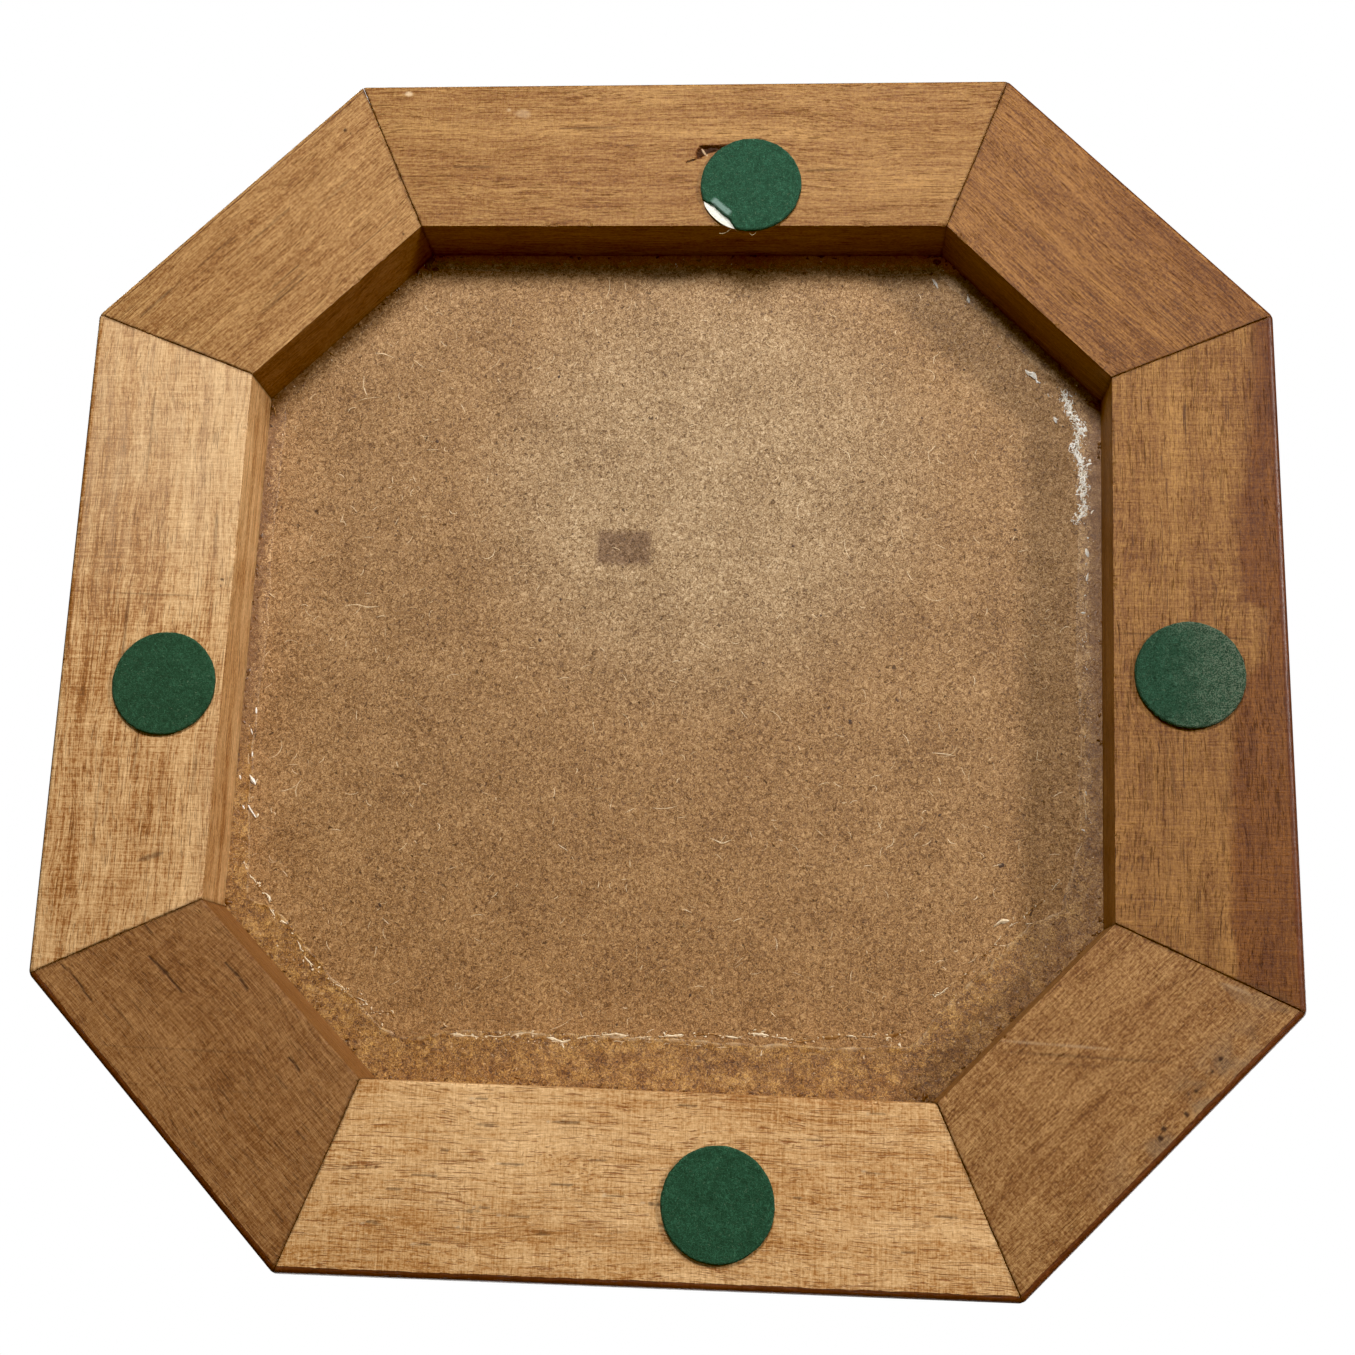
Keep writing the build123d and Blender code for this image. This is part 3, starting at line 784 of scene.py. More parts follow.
def hardboard():
    g = Graph("hardboard_panel", 0.4, 0.3)
    c = g.scale(g.coords("Object"), (1000, 1000, 1000))
    x, y, z = g.sep(c)[0], g.sep(c)[1], g.sep(c)[2]
    tone, curl, fib, fleck, fleck2, n1, height = board_texture(g, c)
    col = g.ramp(tone, [(0.0, srgb(88, 56, 29)), (0.25, srgb(126, 89, 51)), (0.5, srgb(157, 118, 75)), (0.75, srgb(182, 142, 97)), (1.0, srgb(208, 170, 124))])
    # lower half a little more orange
    low = g.remap(y, -40.0, 100.0)
    col = g.mix(low, col, g.mix(1.0, col, (1.0, 0.93, 0.81, 1), "MULTIPLY"))
    col = g.mix(g.math("MULTIPLY", curl, 0.6), col, srgb(86, 54, 26))
    col = g.mix(g.math("MULTIPLY", fleck, 0.8), col, srgb(66, 40, 18))
    col = g.mix(g.math("MULTIPLY", fleck2, 0.6), col, srgb(84, 53, 26))
    col = g.mix(g.math("MULTIPLY", fib, 0.5), col, srgb(214, 178, 132))
    # painted sheen: paler and greyer towards the front, where the key light's broad reflection lies on the board
    dx = g.math("MULTIPLY", g.math("ADD", x, -8.0), 1.0 / 62.0)
    dy = g.math("MULTIPLY", g.math("ADD", y, 42.0), 1.0 / 63.0)
    far = g.math("ADD", g.math("MULTIPLY", dx, dx), g.math("MULTIPLY", dy, dy))
    painted_sheen = g.remap(far, 1.1, 0.0, 0.0, 1.0)
    lift = g.mix(painted_sheen, (1.02, 1.02, 1.02, 1), (1.24, 1.45, 1.79, 1))
    col = g.vmath("MULTIPLY", col, lift)
    # painted light: redder in the strip the front rail shades, standing in for warm light that reaches into that shade
    front_shade_fill = g.remap(y, -96.5, -99.5)
    col = g.mix(front_shade_fill, col, g.mix(1.0, col, (1.25, 0.98, 0.8, 1), "MULTIPLY"))
    # a rubbed, greyish rectangular smudge
    ed = g.noise(g.scale(c, (0.7, 0.7, 0.7)), 1.0, 3.0)
    mx = g.math("SUBTRACT", 6.6, g.math("ABSOLUTE", g.math("ADD", x, 11.3)))
    my = g.math("SUBTRACT", 4.3, g.math("ABSOLUTE", g.math("ADD", y, 25.9)))
    box = g.math("ADD", g.math("MINIMUM", mx, my), g.math("MULTIPLY_ADD", ed, 2.2, -1.1))
    smudge = g.math("MULTIPLY", g.remap(box, -0.8, 1.0), g.remap(g.noise(g.scale(c, (0.35, 0.5, 1), (2, 2, 2)), 1.0, 2.0), 0.2, 0.5, 0.7, 1.0))
    col = g.mix(smudge, col, g.mix(1.0, col, (0.50, 0.43, 0.41, 1), "MULTIPLY"))
    # the play side of the board is the smooth, darker face
    up = g.remap(z, 19.6, 20.3)
    topc = g.ramp(tone, [(0.0, srgb(58, 34, 20)), (1.0, srgb(92, 58, 36))])
    scuff = g.remap(g.noise(g.scale(c, (0.5, 0.12, 0.3)), 1.0, 5.0, 0.7), 0.6, 0.75, 0.0, 0.4)
    topc = g.mix(scuff, topc, srgb(128, 92, 62))
    col = g.mix(up, col, topc)
    rr = g.math("MULTIPLY_ADD", n1, 0.2, 0.29)
    height = g.math("MULTIPLY", height, g.math("MULTIPLY_ADD", up, -0.7, 1.0))
    return g.finish(col, rr, g.bump(height, 0.6, 0.0002))


panel = NODES["base_panel"]
panel.data.materials.clear()
panel.data.materials.append(hardboard())

rng = np.random.default_rng(7)


def in_panel(x, y, margin=0.0):
    """True where a point is inside the recess by a margin."""
    ok = np.ones(np.shape(x), bool)
    for k in range(8):
        p0, p1 = MIT[k, 2:], MIT[(k + 1) % 8, 2:]
        d = (p1 - p0) / np.hypot(*(p1 - p0))
        ok &= (-(x - p0[0]) * d[1] + (y - p0[1]) * d[0]) > margin
    return ok


def wall_dist(x, y):
    """Distance to the nearest inner wall."""
    best = np.full(np.shape(x), 1e9)
    for k in range(8):
        p0, p1 = MIT[k, 2:], MIT[(k + 1) % 8, 2:]
        d = (p1 - p0) / np.hypot(*(p1 - p0))
        best = np.minimum(best, -(x - p0[0]) * d[1] + (y - p0[1]) * d[0])
    return best


def curved(x, y, ang, length, bend, m=9):
    """Gently curved strand centrelines."""
    tt = np.linspace(-0.5, 0.5, m)[None, :]
    a = ang[:, None] + bend[:, None] * tt
    dx, dy = np.cos(a), np.sin(a)
    px = x[:, None] + np.cumsum(dx, 1) * (length[:, None] / m)
    py = y[:, None] + np.cumsum(dy, 1) * (length[:, None] / m)
    return px, py


def resample(pts, step):
    pts = np.asarray(pts, float)
    d = np.concatenate([[0], np.cumsum(np.hypot(*(pts[1:] - pts[:-1]).T))])
    t = np.linspace(0, d[-1], max(4, int(d[-1] / step)))
    return np.stack([np.interp(t, d, pts[:, 0]), np.interp(t, d, pts[:, 1])], -1)


def panel_fibres():
    n = 620
    x, y = rng.uniform(-100, 100, n * 2), rng.uniform(-100, 100, n * 2)
    ok = in_panel(x, y, 3.0)
    x, y = x[ok][:n], y[ok][:n]
    n = len(x)
    ang = rng.uniform(0, 2 * math.pi, n)
    length = rng.uniform(0.9, 3.2, n) * np.where(rng.random(n) < 0.12, 2.2, 1.0)
    px, py = curved(x, y, ang, length, rng.normal(0, 1.2, n))
    taper = np.sqrt(np.clip(1 - (2 * np.linspace(0, 1, 9) - 1) ** 2, 0.06, 1))[None, :]
    hw = rng.uniform(0.035, 0.10, n)[:, None] * taper
    pz = np.full(px.shape, Z_PANEL - 0.012)
    v, q = strips("f", np.stack([px, py, pz], -1), hw, 0.035 * taper)
    # a few long loose fibres lying on the board
    long_ones = [[(-78.8, -10.0), (-76.0, -10.6), (-73.0, -9.8), (-70.2, -10.2)], [(-78.5, -69.6), (-78.6, -67.0), (-77.3, -64.3)],
                 [(-76.4, -75.8), (-73.8, -75.6), (-71.2, -74.5)], [(40.2, -52.0), (42.4, -50.6), (43.0, -48.0)], [(12.0, 44.0), (14.8, 45.2), (17.0, 44.2)]]
    pp = []
    for pts in long_ones:
        r_ = resample(pts, 0.3)
        t_ = np.linspace(0, len(r_) - 1, 9)
        pp.append(np.stack([np.interp(t_, np.arange(len(r_)), r_[:, 0]), np.interp(t_, np.arange(len(r_)), r_[:, 1]), np.full(9, Z_PANEL - 0.02)], -1))
    v2, q2 = strips("l", np.array(pp), 0.13 * taper, 0.06 * taper)
    q = np.vstack([q, q2 + len(v)])
    v = np.vstack([v, v2])
    g = Graph("pale_fibre", 0.45)
    c = g.scale(g.coords("Object"), (1000, 1000, 1000))
    t = g.noise(g.scale(c, (0.8, 0.8, 0.8)), 1.0, 3.0)
    t2 = g.noise(g.scale(c, (7, 7, 7)), 1.0, 2.0)
    col = g.ramp(g.wsum((0.7, t), (0.3, t2)), [(0.3, srgb(204, 170, 126)), (0.7, srgb(246, 222, 184))])
    mat = g.finish(col, g.math("MULTIPLY_ADD", t, 0.3, 0.3), g.bump(t2, 0.3, 0.00004))
    place(make_mesh("panel_pale_fibres", v, [q]), mat)


def panel_flecks():
    spots = [(-58.9, -52.6, .45), (-29.4, -69.8, .5), (43.8, 15.8, .5), (10.5, -10.7, .42), (78.6, 48.5, .6), (54.6, 10.3, .45), (-43.4, 92.7, .4),
             (-18.3, 24.0, .4), (8.5, 80.0, .4), (82.2, -31.8, .4), (-30.5, -2.5, .35), (-64.6, 61.8, .45), (64.7, 37.2, .4), (29.5, -26.9, .38), (36.4, -9.8, .3),
             (-9.2, 17.5, .3), (-26.0, -12.6, .34), (23.0, 2.0, .3), (45.2, 28.7, .3), (-80.0, 4.0, .36), (-72.0, -30.0, .3), (60.0, -60.0, .34),
             (85.2, 71.0 - 12, .7), (80.5, 66.0, .35)]
    extra = 250
    x, y = rng.uniform(-100, 100, extra * 2), rng.uniform(-100, 100, extra * 2)
    ok = in_panel(x, y, 2.0)
    for a, b in list(zip(x[ok], y[ok]))[:extra]:
        spots.append((a, b, float(rng.uniform(0.13, 0.31) / 1.2)))
    spots = [(a, b, r * 1.35) for a, b, r in spots]
    verts, faces = [], []
    m = 9
    for (x, y, r) in spots:
        th = np.linspace(0, 2 * math.pi, m, endpoint=False)
        rr = r * rng.uniform(0.55, 1.25, m)
        el = rng.uniform(0.5, 1.0)
        a = rng.uniform(0, math.pi)
        lx, ly = rr * np.cos(th), rr * np.sin(th) * el
        px, py = x + lx * math.cos(a) - ly * math.sin(a), y + lx * math.sin(a) + ly * math.cos(a)
        base = len(verts)
        for k in range(m):
            verts.append((px[k], py[k], Z_PANEL + 0.02))
        for k in range(m):
            verts.append((x + (px[k] - x) * 0.72, y + (py[k] - y) * 0.72, Z_PANEL - 0.03))
        for k in range(m):
            k1 = (k + 1) % m
            faces.append((base + k, base + k1, base + m + k1))
            faces.append((base + k, base + m + k1, base + m + k))
        for k in range(1, m - 1):
            faces.append((base + m, base + m + k, base + m + k + 1))
            faces.append((base, base + k + 1, base + k))
    g = Graph("bark_fleck", 0.7)
    c = g.scale(g.coords("Object"), (1000, 1000, 1000))
    t = g.noise(g.scale(c, (3, 3, 3)), 1.0, 3.0)
    t2 = g.noise(g.scale(c, (0.3, 0.3, 0.3)), 1.0, 2.0)
    col = g.ramp(g.wsum((0.6, t), (0.4, t2)), [(0.3, srgb(46, 26, 15)), (0.7, srgb(92, 58, 32))])
    mat = g.finish(col, g.math("MULTIPLY_ADD", t, 0.3, 0.5), g.bump(t, 0.4, 0.00005))
    place(make_mesh("panel_bark_flecks", verts, [np.array(faces)]), mat)


panel_fibres()
panel_flecks()


# --------------------------------------------------------------------------
# dried glue: a thin amber film with a ragged, raised inner edge
def perimeter(step=0.55):
    """Points round the inside of the recess, at the wall, with the index of each side and the share along it."""
    pts = []
    for k in range(8):
        p0, p1 = MIT[k, 2:], MIT[(k + 1) % 8, 2:]
        ln = np.hypot(*(p1 - p0))
        n = int(ln / step)
        for j in range(n):
            pts.append((*(p0 + (p1 - p0) * j / n), k, j / n))
    return np.array(pts)


def inset(width_mm):
    """The recess outline moved inwards by width_mm, corners kept."""
    lines = []
    for k in range(8):
        p0, p1 = MIT[k, 2:], MIT[(k + 1) % 8, 2:]
        d = (p1 - p0) / np.hypot(*(p1 - p0))
        n = np.array([-d[1], d[0]])
        lines.append((n[0], n[1], n @ p0 + width_mm))
    out = []
    for k in range(8):
        (a1, b1, c1), (a2, b2, c2) = lines[k - 1], lines[k]
        det = a1 * b2 - a2 * b1
        out.append(((c1 * b2 - c2 * b1) / det, (a1 * c2 - a2 * c1) / det))
    return np.array(out)


def glue_film():
    per = perimeter()
    k = per[:, 2].astype(int)
    f = per[:, 3]
    far = inset(20.0)
    fa, fb = far[k], far[(k + 1) % 8]
    far_p = fa + (fb - fa) * f[:, None]
    wall_p = per[:, :2]
    # how wide the film is round the outline (sides in the order of the rails)
    base = {0: 4.0, 1: 5.5, 2: 12.5, 3: 11.5, 4: 8.0, 5: 4.0, 6: 3.0, 7: 5.0}
    knots_t, knots_w = [], []
    for s in range(8):
        for q in np.linspace(0.15, 0.85, 6):
            knots_t.append(s + q)
            knots_w.append(base[s])
    t = k + f
    wd = np.interp(t, np.array(knots_t), np.array(knots_w), period=8)
    wd = wd + 1.5 * (fbm(t * 6.0, 0 * t, 200, 3) - 0.5) + 1.2 * (fbm(t * 24.0, 0 * t, 204, 3) - 0.5)
    rows = np.array([-0.0, 0.06, 0.14, 0.24, 0.36, 0.5, 0.62, 0.74, 0.84, 0.91, 0.955, 0.985, 1.0])
    share = np.outer(wd / 20.0, rows)
    X = wall_p[:, :1] + (far_p - wall_p)[:, :1] * share
    Y = wall_p[:, 1:2] + (far_p - wall_p)[:, 1:2] * share
    rich = np.interp(t, [0, 1.4, 1.8, 2.5, 3.5, 4.6, 5.0, 5.26, 5.42, 8], [0.05, 0.05, 0.4, 1.0, 1.0, 1.0, 0.9, 0.75, 0.06, 0.05])
    thick = 0.03 + (0.05 + 0.10 * rich[:, None]) * fbm(X * 0.5, Y * 0.5, 210, 3)
    lip = 0.24 * rich[:, None] * np.exp(-(((1 - rows)[None, :] * wd[:, None] - 0.35) / 0.28) ** 2) * smooth(0.35, 0.7, fbm(t * 13, 0 * t, 211, 3))[:, None]
    thick = (thick + lip) * smooth(0.0, 0.25, (1 - rows)[None, :] * wd[:, None] + 0.0)
    thick[:, -1] = 0.0
    Zb = Z_PANEL - thick
    n, m = X.shape
    low = np.stack([X, Y, Zb], -1)
    top = np.stack([X, Y, np.full(X.shape, Z_PANEL + 0.02)], -1)
    v = np.concatenate([low, top[:, ::-1]], 1).reshape(-1, 3)
    q = grid_faces(n, 2 * m, close_u=True, close_v=True, flip=True)
    wet = np.repeat(np.concatenate([rows, rows[::-1]])[None, :], n, 0).ravel()
    side = np.repeat(rich[:, None], 2 * m, 1).ravel()
    g = Graph("amber_glue", 0.3)
    c = g.scale(g.coords("Object"), (1000, 1000, 1000))
    tone, curl, fib, fleck, fleck2, n1, height = board_texture(g, c)
    n2 = g.noise(g.scale(c, (0.7, 1.3, 1.0)), 1.0, 3.0, 0.6, 1.0)
    n3 = g.noise(g.scale(c, (0.3, 0.3, 0.3)), 1.0, 4.0, 0.6)
    tone = g.math("ADD", tone, g.math("MULTIPLY", g.math("ADD", n3, -0.5), 0.9), clamp=True)
    board = g.ramp(tone, [(0.0, srgb(78, 45, 20)), (0.25, srgb(120, 82, 44)), (0.5, srgb(158, 118, 74)), (0.75, srgb(188, 147, 98)), (1.0, srgb(222, 184, 134))])
    board = g.mix(g.math("MULTIPLY", curl, 0.6), board, srgb(84, 50, 22))
    board = g.mix(g.math("MULTIPLY", fleck, 0.75), board, srgb(62, 36, 15))
    board = g.mix(g.math("MULTIPLY", fleck2, 0.45), board, srgb(84, 52, 24))
    board = g.mix(g.math("MULTIPLY", fib, 0.5), board, srgb(216, 180, 132))
    rich = g.attr("run", "Fac")
    amber = g.mix(1.0, board, g.ramp(n3, [(0.3, srgb(226, 200, 138)), (0.7, srgb(255, 247, 202))]), "MULTIPLY")
    wetm = g.math("MULTIPLY", rich, g.remap(n2, 0.36, 0.58, 0.55, 1.0))
    col = g.mix(wetm, board, amber)
    bit = g.noise(g.scale(c, (1.5, 1.5, 1.5), (5, 5, 5)), 1.0, 2.0)
    col = g.mix(g.math("MULTIPLY", g.remap(bit, 0.68, 0.76, 0.0, 0.6), g.math("MULTIPLY_ADD", rich, 0.8, 0.2)), col, srgb(230, 204, 166))
    w = g.attr("film", "Fac")
    # painted highlight: the film paler along its raised inner edge, where that edge catches the light
    rim = g.remap(w, 0.86, 0.97)
    rn = g.remap(g.noise(g.scale(c, (0.35, 0.35, 0.35), (1, 5, 2)), 1.0, 2.0), 0.45, 0.62)
    col = g.mix(g.math("MULTIPLY", g.math("MULTIPLY", g.math("MULTIPLY", rim, rn), rich), 0.4), col, srgb(212, 178, 132))
    grime = g.remap(g.math("ADD", w, g.math("MULTIPLY_ADD", n2, 1.6, -0.8)), 0.85, 0.25)
    grime = g.math("MULTIPLY", grime, g.math("MULTIPLY_ADD", rich, -0.55, 0.62))
    # painted light: in the strip the front rail shades, the grime colour turns lighter and redder, standing in for
    # warm light that reaches into that shade
    front_shade_fill = g.remap(g.sep(c)[1], -96.0, -99.5)
    col = g.mix(grime, col, g.mix(front_shade_fill, srgb(104, 62, 27), srgb(198, 100, 46)))
    rr = g.math("ADD", g.math("MULTIPLY_ADD", n2, 0.25, 0.30), g.math("MULTIPLY", rich, -0.08))
    h = g.wsum((0.6, height), (0.4, n2), (0.3, n3))
    mat = g.finish(col, rr, g.bump(h, 0.6, 0.00025))
    ob = make_mesh("dried_glue_film", v, [q], {"film": ("FLOAT", wet), "run": ("FLOAT", side)}, 60)
    place(ob, mat, ["glue_film"])


glue_film()


def ridge(pts, hw, hh, seed, wob=0.25):
    """One raised thread of dried glue with swelling and thinning."""
    p = resample(pts, 0.3)
    m = len(p)
    tt = np.arange(m) * 0.3
    r = np.random.default_rng(seed)
    j = r.random() * 90
    p = p + wob * (np.stack([fbm(tt * 0.7 + j, 0 * tt, 220, 3), fbm(tt * 0.7 + j, 0 * tt + 9, 221, 3)], -1) - 0.5)
    sw = 0.35 + 1.3 * fbm(tt * 0.45 + j, 0 * tt + 4, 222, 3) ** 1.4
    ends = np.sqrt(np.clip(np.minimum(tt, tt[-1] - tt) / 1.2, 0.05, 1))
    path = np.stack([p[:, 0], p[:, 1], np.full(m, Z_PANEL - hh * 0.5)], -1)
    return strips("r", path[None], (hw * sw * ends)[None], (hh * (0.6 + 0.4 * sw) * ends)[None])


def blob(x, y, rx, ry, h, ang, seed, z=None, m=14, rings=5):
    """A small lumpy bead standing proud of the panel, downwards."""
    r = np.random.default_rng(seed)
    z = Z_PANEL if z is None else z
    th = np.linspace(0, 2 * math.pi, m, endpoint=False)
    lump = 1 + 0.28 * np.sin(th * 2 + r.random() * 6) + 0.2 * np.sin(th * 3 + r.random() * 6) + 0.12 * r.normal(size=m)
    verts = [(x, y, z - h)]
    for k in range(1, rings + 1):
        q = k / rings
        zz = z - h * math.cos(q * math.pi / 2) + (0.03 if k == rings else 0)
        lx, ly = rx * q * lump * np.cos(th), ry * q * lump * np.sin(th)
        for a, b in zip(lx, ly):
            verts.append((x + a * math.cos(ang) - b * math.sin(ang), y + a * math.sin(ang) + b * math.cos(ang), zz))
    verts.append((x, y, z + 0.03))
    tri, quad = [], []
    for k in range(m):
        k1 = (k + 1) % m
        tri.append((0, 1 + k, 1 + k1))
        b = 1 + (rings - 1) * m
        tri.append((len(verts) - 1, b + k1, b + k))
        for j in range(rings - 1):
            quad.append((1 + j * m + k, 1 + (j + 1) * m + k, 1 + (j + 1) * m + k1, 1 + j * m + k1))
    return np.array(verts), np.array(quad), np.array(tri)


class Pile:
    """Collects many small closed lumps into one mesh."""

    def __init__(self):
        self.v, self.q, self.t, self.n = [], [], [], 0

    def add(self, v, q, t=None):
        v = np.asarray(v, float)
        self.v.append(v)
        if q is not None and len(q):
            self.q.append(np.asarray(q) + self.n)
        if t is not None and len(t):
            self.t.append(np.asarray(t) + self.n)
        self.n += len(v)

    def mesh(self, name, angle=50):
        faces = []
        if self.q:
            faces.append(np.vstack(self.q))
        if self.t:
            faces.append(np.vstack(self.t))
        return make_mesh(name, np.vstack(self.v), faces, None, angle)


def glue_threads():
    edge_ll = [(-97.8, 52.5), (-95.9, 56.0), (-93.0, 59.4), (-91.1, 60.8), (-90.4, 63.6), (-88.8, 65.6), (-85.5, 67.1), (-83.3, 71.0), (-81.2, 74.4), (-78.8, 76.8), (-75.6, 79.4), (-72.1, 80.9), (-69.8, 82.4), (-67.0, 83.6), (-64.1, 86.3), (-60.1, 86.1), (-59.1, 87.2)]
    edge_b = [(-46.0, 90.7), (-35.8, 90.9), (-27.7, 89.6), (-20.0, 91.4), (-13.8, 89.8), (-8.2, 89.3), (-2.5, 90.0), (3.7, 89.2), (8.0, 88.9), (14.2, 88.5), (19.2, 89.3), (22.9, 88.0), (33.7, 89.5), (42.6, 87.9), (51.6, 88.0), (59.4, 86.0)]
    edge_b2 = [(-32.7, 91.7), (-24.4, 91.7), (-16.0, 91.2), (-6.9, 90.8), (1.2, 90.8), (13.6, 91.3), (17.9, 91.4)]
    edge_br = [(91.9, 51.3), (87.3, 56.7), (82.8, 60.7), (79.6, 62.9), (76.1, 67.6), (69.4, 74.6), (62.7, 79.2)]
    pale, clear = Pile(), Pile()
    # broken lengths of the raised ridge; most are coloured near white as painted glints on real glue beads, the rest
    # amber
    def broken(pts, hw, hh, seed, low, high, gap):
        p = resample(pts, 0.5)
        r = np.random.default_rng(seed)
        i = 0
        while i < len(p) - 6:
            ln = int(r.uniform(low, high) / 0.5)
            piece = p[i:i + ln]
            if len(piece) > 4:
                (pale if r.random() < 0.7 else clear).add(*ridge(piece, hw * r.uniform(0.5, 1.3), hh, seed * 50 + i, 0.5))
                for q in range(int(len(piece) * 0.8)):
                    bx, by = piece[r.integers(0, len(piece))] + r.normal(0, 0.4, 2)
                    br = r.uniform(0.10, 0.26) * hw / 0.2
                    (pale if r.random() < 0.75 else clear).add(*blob(bx, by, br * r.uniform(1, 1.7), br, hh * 1.6, r.uniform(0, 3.1), seed * 700 + i * 20 + q, m=8, rings=3))
            i += ln + int(r.uniform(0.2, gap) / 0.5)
    broken(edge_ll, 0.24, 0.22, 3, 2.4, 4.5, 1.5)
    broken(edge_b, 0.24, 0.22, 4, 2.6, 7, 1.8)
    broken(edge_b2, 0.15, 0.14, 5, 2.4, 5, 4.0)
    broken(edge_br, 0.20, 0.19, 6, 2.4, 5, 2.6)
    broken([(-99.4, 20), (-98.9, 30), (-98.2, 40), (-97.8, 52)], 0.09, 0.1, 7, 2, 6, 5)
    broken([(98.4, -20), (98.6, 0), (97.4, 22), (98.0, 40), (95, 47)], 0.09, 0.1, 8, 2, 5, 6)
    for k, (x, y, r) in enumerate([(-99.2, 32.6, .5), (-96.6, 33.5, .35), (-98.4, 39.1, .45), (-95.6, 41.7, .5), (-94.1, 63.3, .4), (-88.0, 72.0, .35),
                                   (-77.0, 84.0, .35), (-36.0, 95.0, .3), (4.0, 96.5, .3), (25.0, 92.4, .5), (29.0, 93.2, .3), (48.0, 92.5, .35), (61.8, 89.6, .35),
                                   (73.9, 84.1, .35), (83.0, 68.4, .45), (88.5, 66.6, .3), (66.0, 74.0, .25), (56.0, 89.5, .45)]):
        th = rng.uniform(0, 3.14)
        (pale if k % 2 else clear).add(*blob(x, y, r * rng.uniform(1, 1.8), r * 0.6, 0.28, th, 500 + k))
    # curls of brown glue squeezed out at the front left corner
    for k, pts in enumerate([[(-65.2, -101.4), (-63.6, -99.6), (-61.6, -98.9)], [(-64.6, -99.6), (-62.9, -97.2), (-63.1, -95.6)], [(-63.0, -101.0), (-60.6, -99.9), (-59.2, -98.2)],
                             [(-61.5, -100.6), (-58.4, -100.2), (-56.0, -100.7)], [(-66.0, -98.0), (-65.2, -95.6)], [(-88.0, -76.0), (-86.4, -74.9)], [(-101.0, -61.8), (-100.0, -58.6)]]):
        clear.add(*ridge(pts, 0.26, 0.3, 950 + k, 0.5))
    # the short fat drip near the right-hand end of the back seam
    pale.add(*ridge([(76.9, 62.4), (78.4, 61.2), (80.3, 60.9)], 0.5, 0.4, 900, 0.1))
    pale.add(*ridge([(84.0, 61.6), (86.2, 61.3)], 0.2, 0.25, 901, 0.1))
    for k in range(120):
        side = rng.integers(0, 8)
        w = {0: 5, 1: 6, 2: 13, 3: 12, 4: 9, 5: 5, 6: 3, 7: 3}[int(side)]
        a, b = MIT[side, 2:], MIT[(side + 1) % 8, 2:]
        f = rng.uniform(0.05, 0.95)
        d = (b - a) / np.hypot(*(b - a))
        p = a + (b - a) * f + np.array([-d[1], d[0]]) * rng.uniform(0.8, w)
        r = rng.uniform(0.08, 0.24)
        (pale if rng.random() < 0.45 else clear).add(*blob(p[0], p[1], r * rng.uniform(1, 2), r, 0.12, rng.uniform(0, 3.1), 1000 + k, m=8, rings=3))

    # painted highlight: the glue beads are real, their near-white colour stands in for the glints on them
    g = Graph("glue_bead_painted_glint", 0.35)
    c = g.scale(g.coords("Object"), (1000, 1000, 1000))
    t = g.noise(g.scale(c, (1.4, 1.4, 1.4)), 1.0, 3.0)
    t2 = g.noise(g.scale(c, (0.25, 0.25, 0.25)), 1.0, 2.0)
    col = g.ramp(g.wsum((0.6, t), (0.4, t2)), [(0.3, srgb(206, 170, 122)), (0.6, srgb(252, 236, 206))])
    mat = g.finish(col, g.math("MULTIPLY_ADD", t, 0.3, 0.15), g.bump(t, 0.4, 0.00008))
    place(pale.mesh("glue_threads_painted_glints"), mat)
    g = Graph("clear_dried_glue", 0.2)
    c = g.scale(g.coords("Object"), (1000, 1000, 1000))
    t = g.noise(g.scale(c, (1.2, 1.2, 1.2)), 1.0, 3.0)
    t2 = g.noise(g.scale(c, (0.3, 0.3, 0.3)), 1.0, 2.0)
    col = g.ramp(g.wsum((0.6, t), (0.4, t2)), [(0.3, srgb(120, 76, 36)), (0.7, srgb(194, 150, 96))])
    mat = g.finish(col, g.math("MULTIPLY_ADD", t, 0.2, 0.08), g.bump(t, 0.4, 0.00008))
    place(clear.mesh("glue_amber_threads"), mat)


glue_threads()


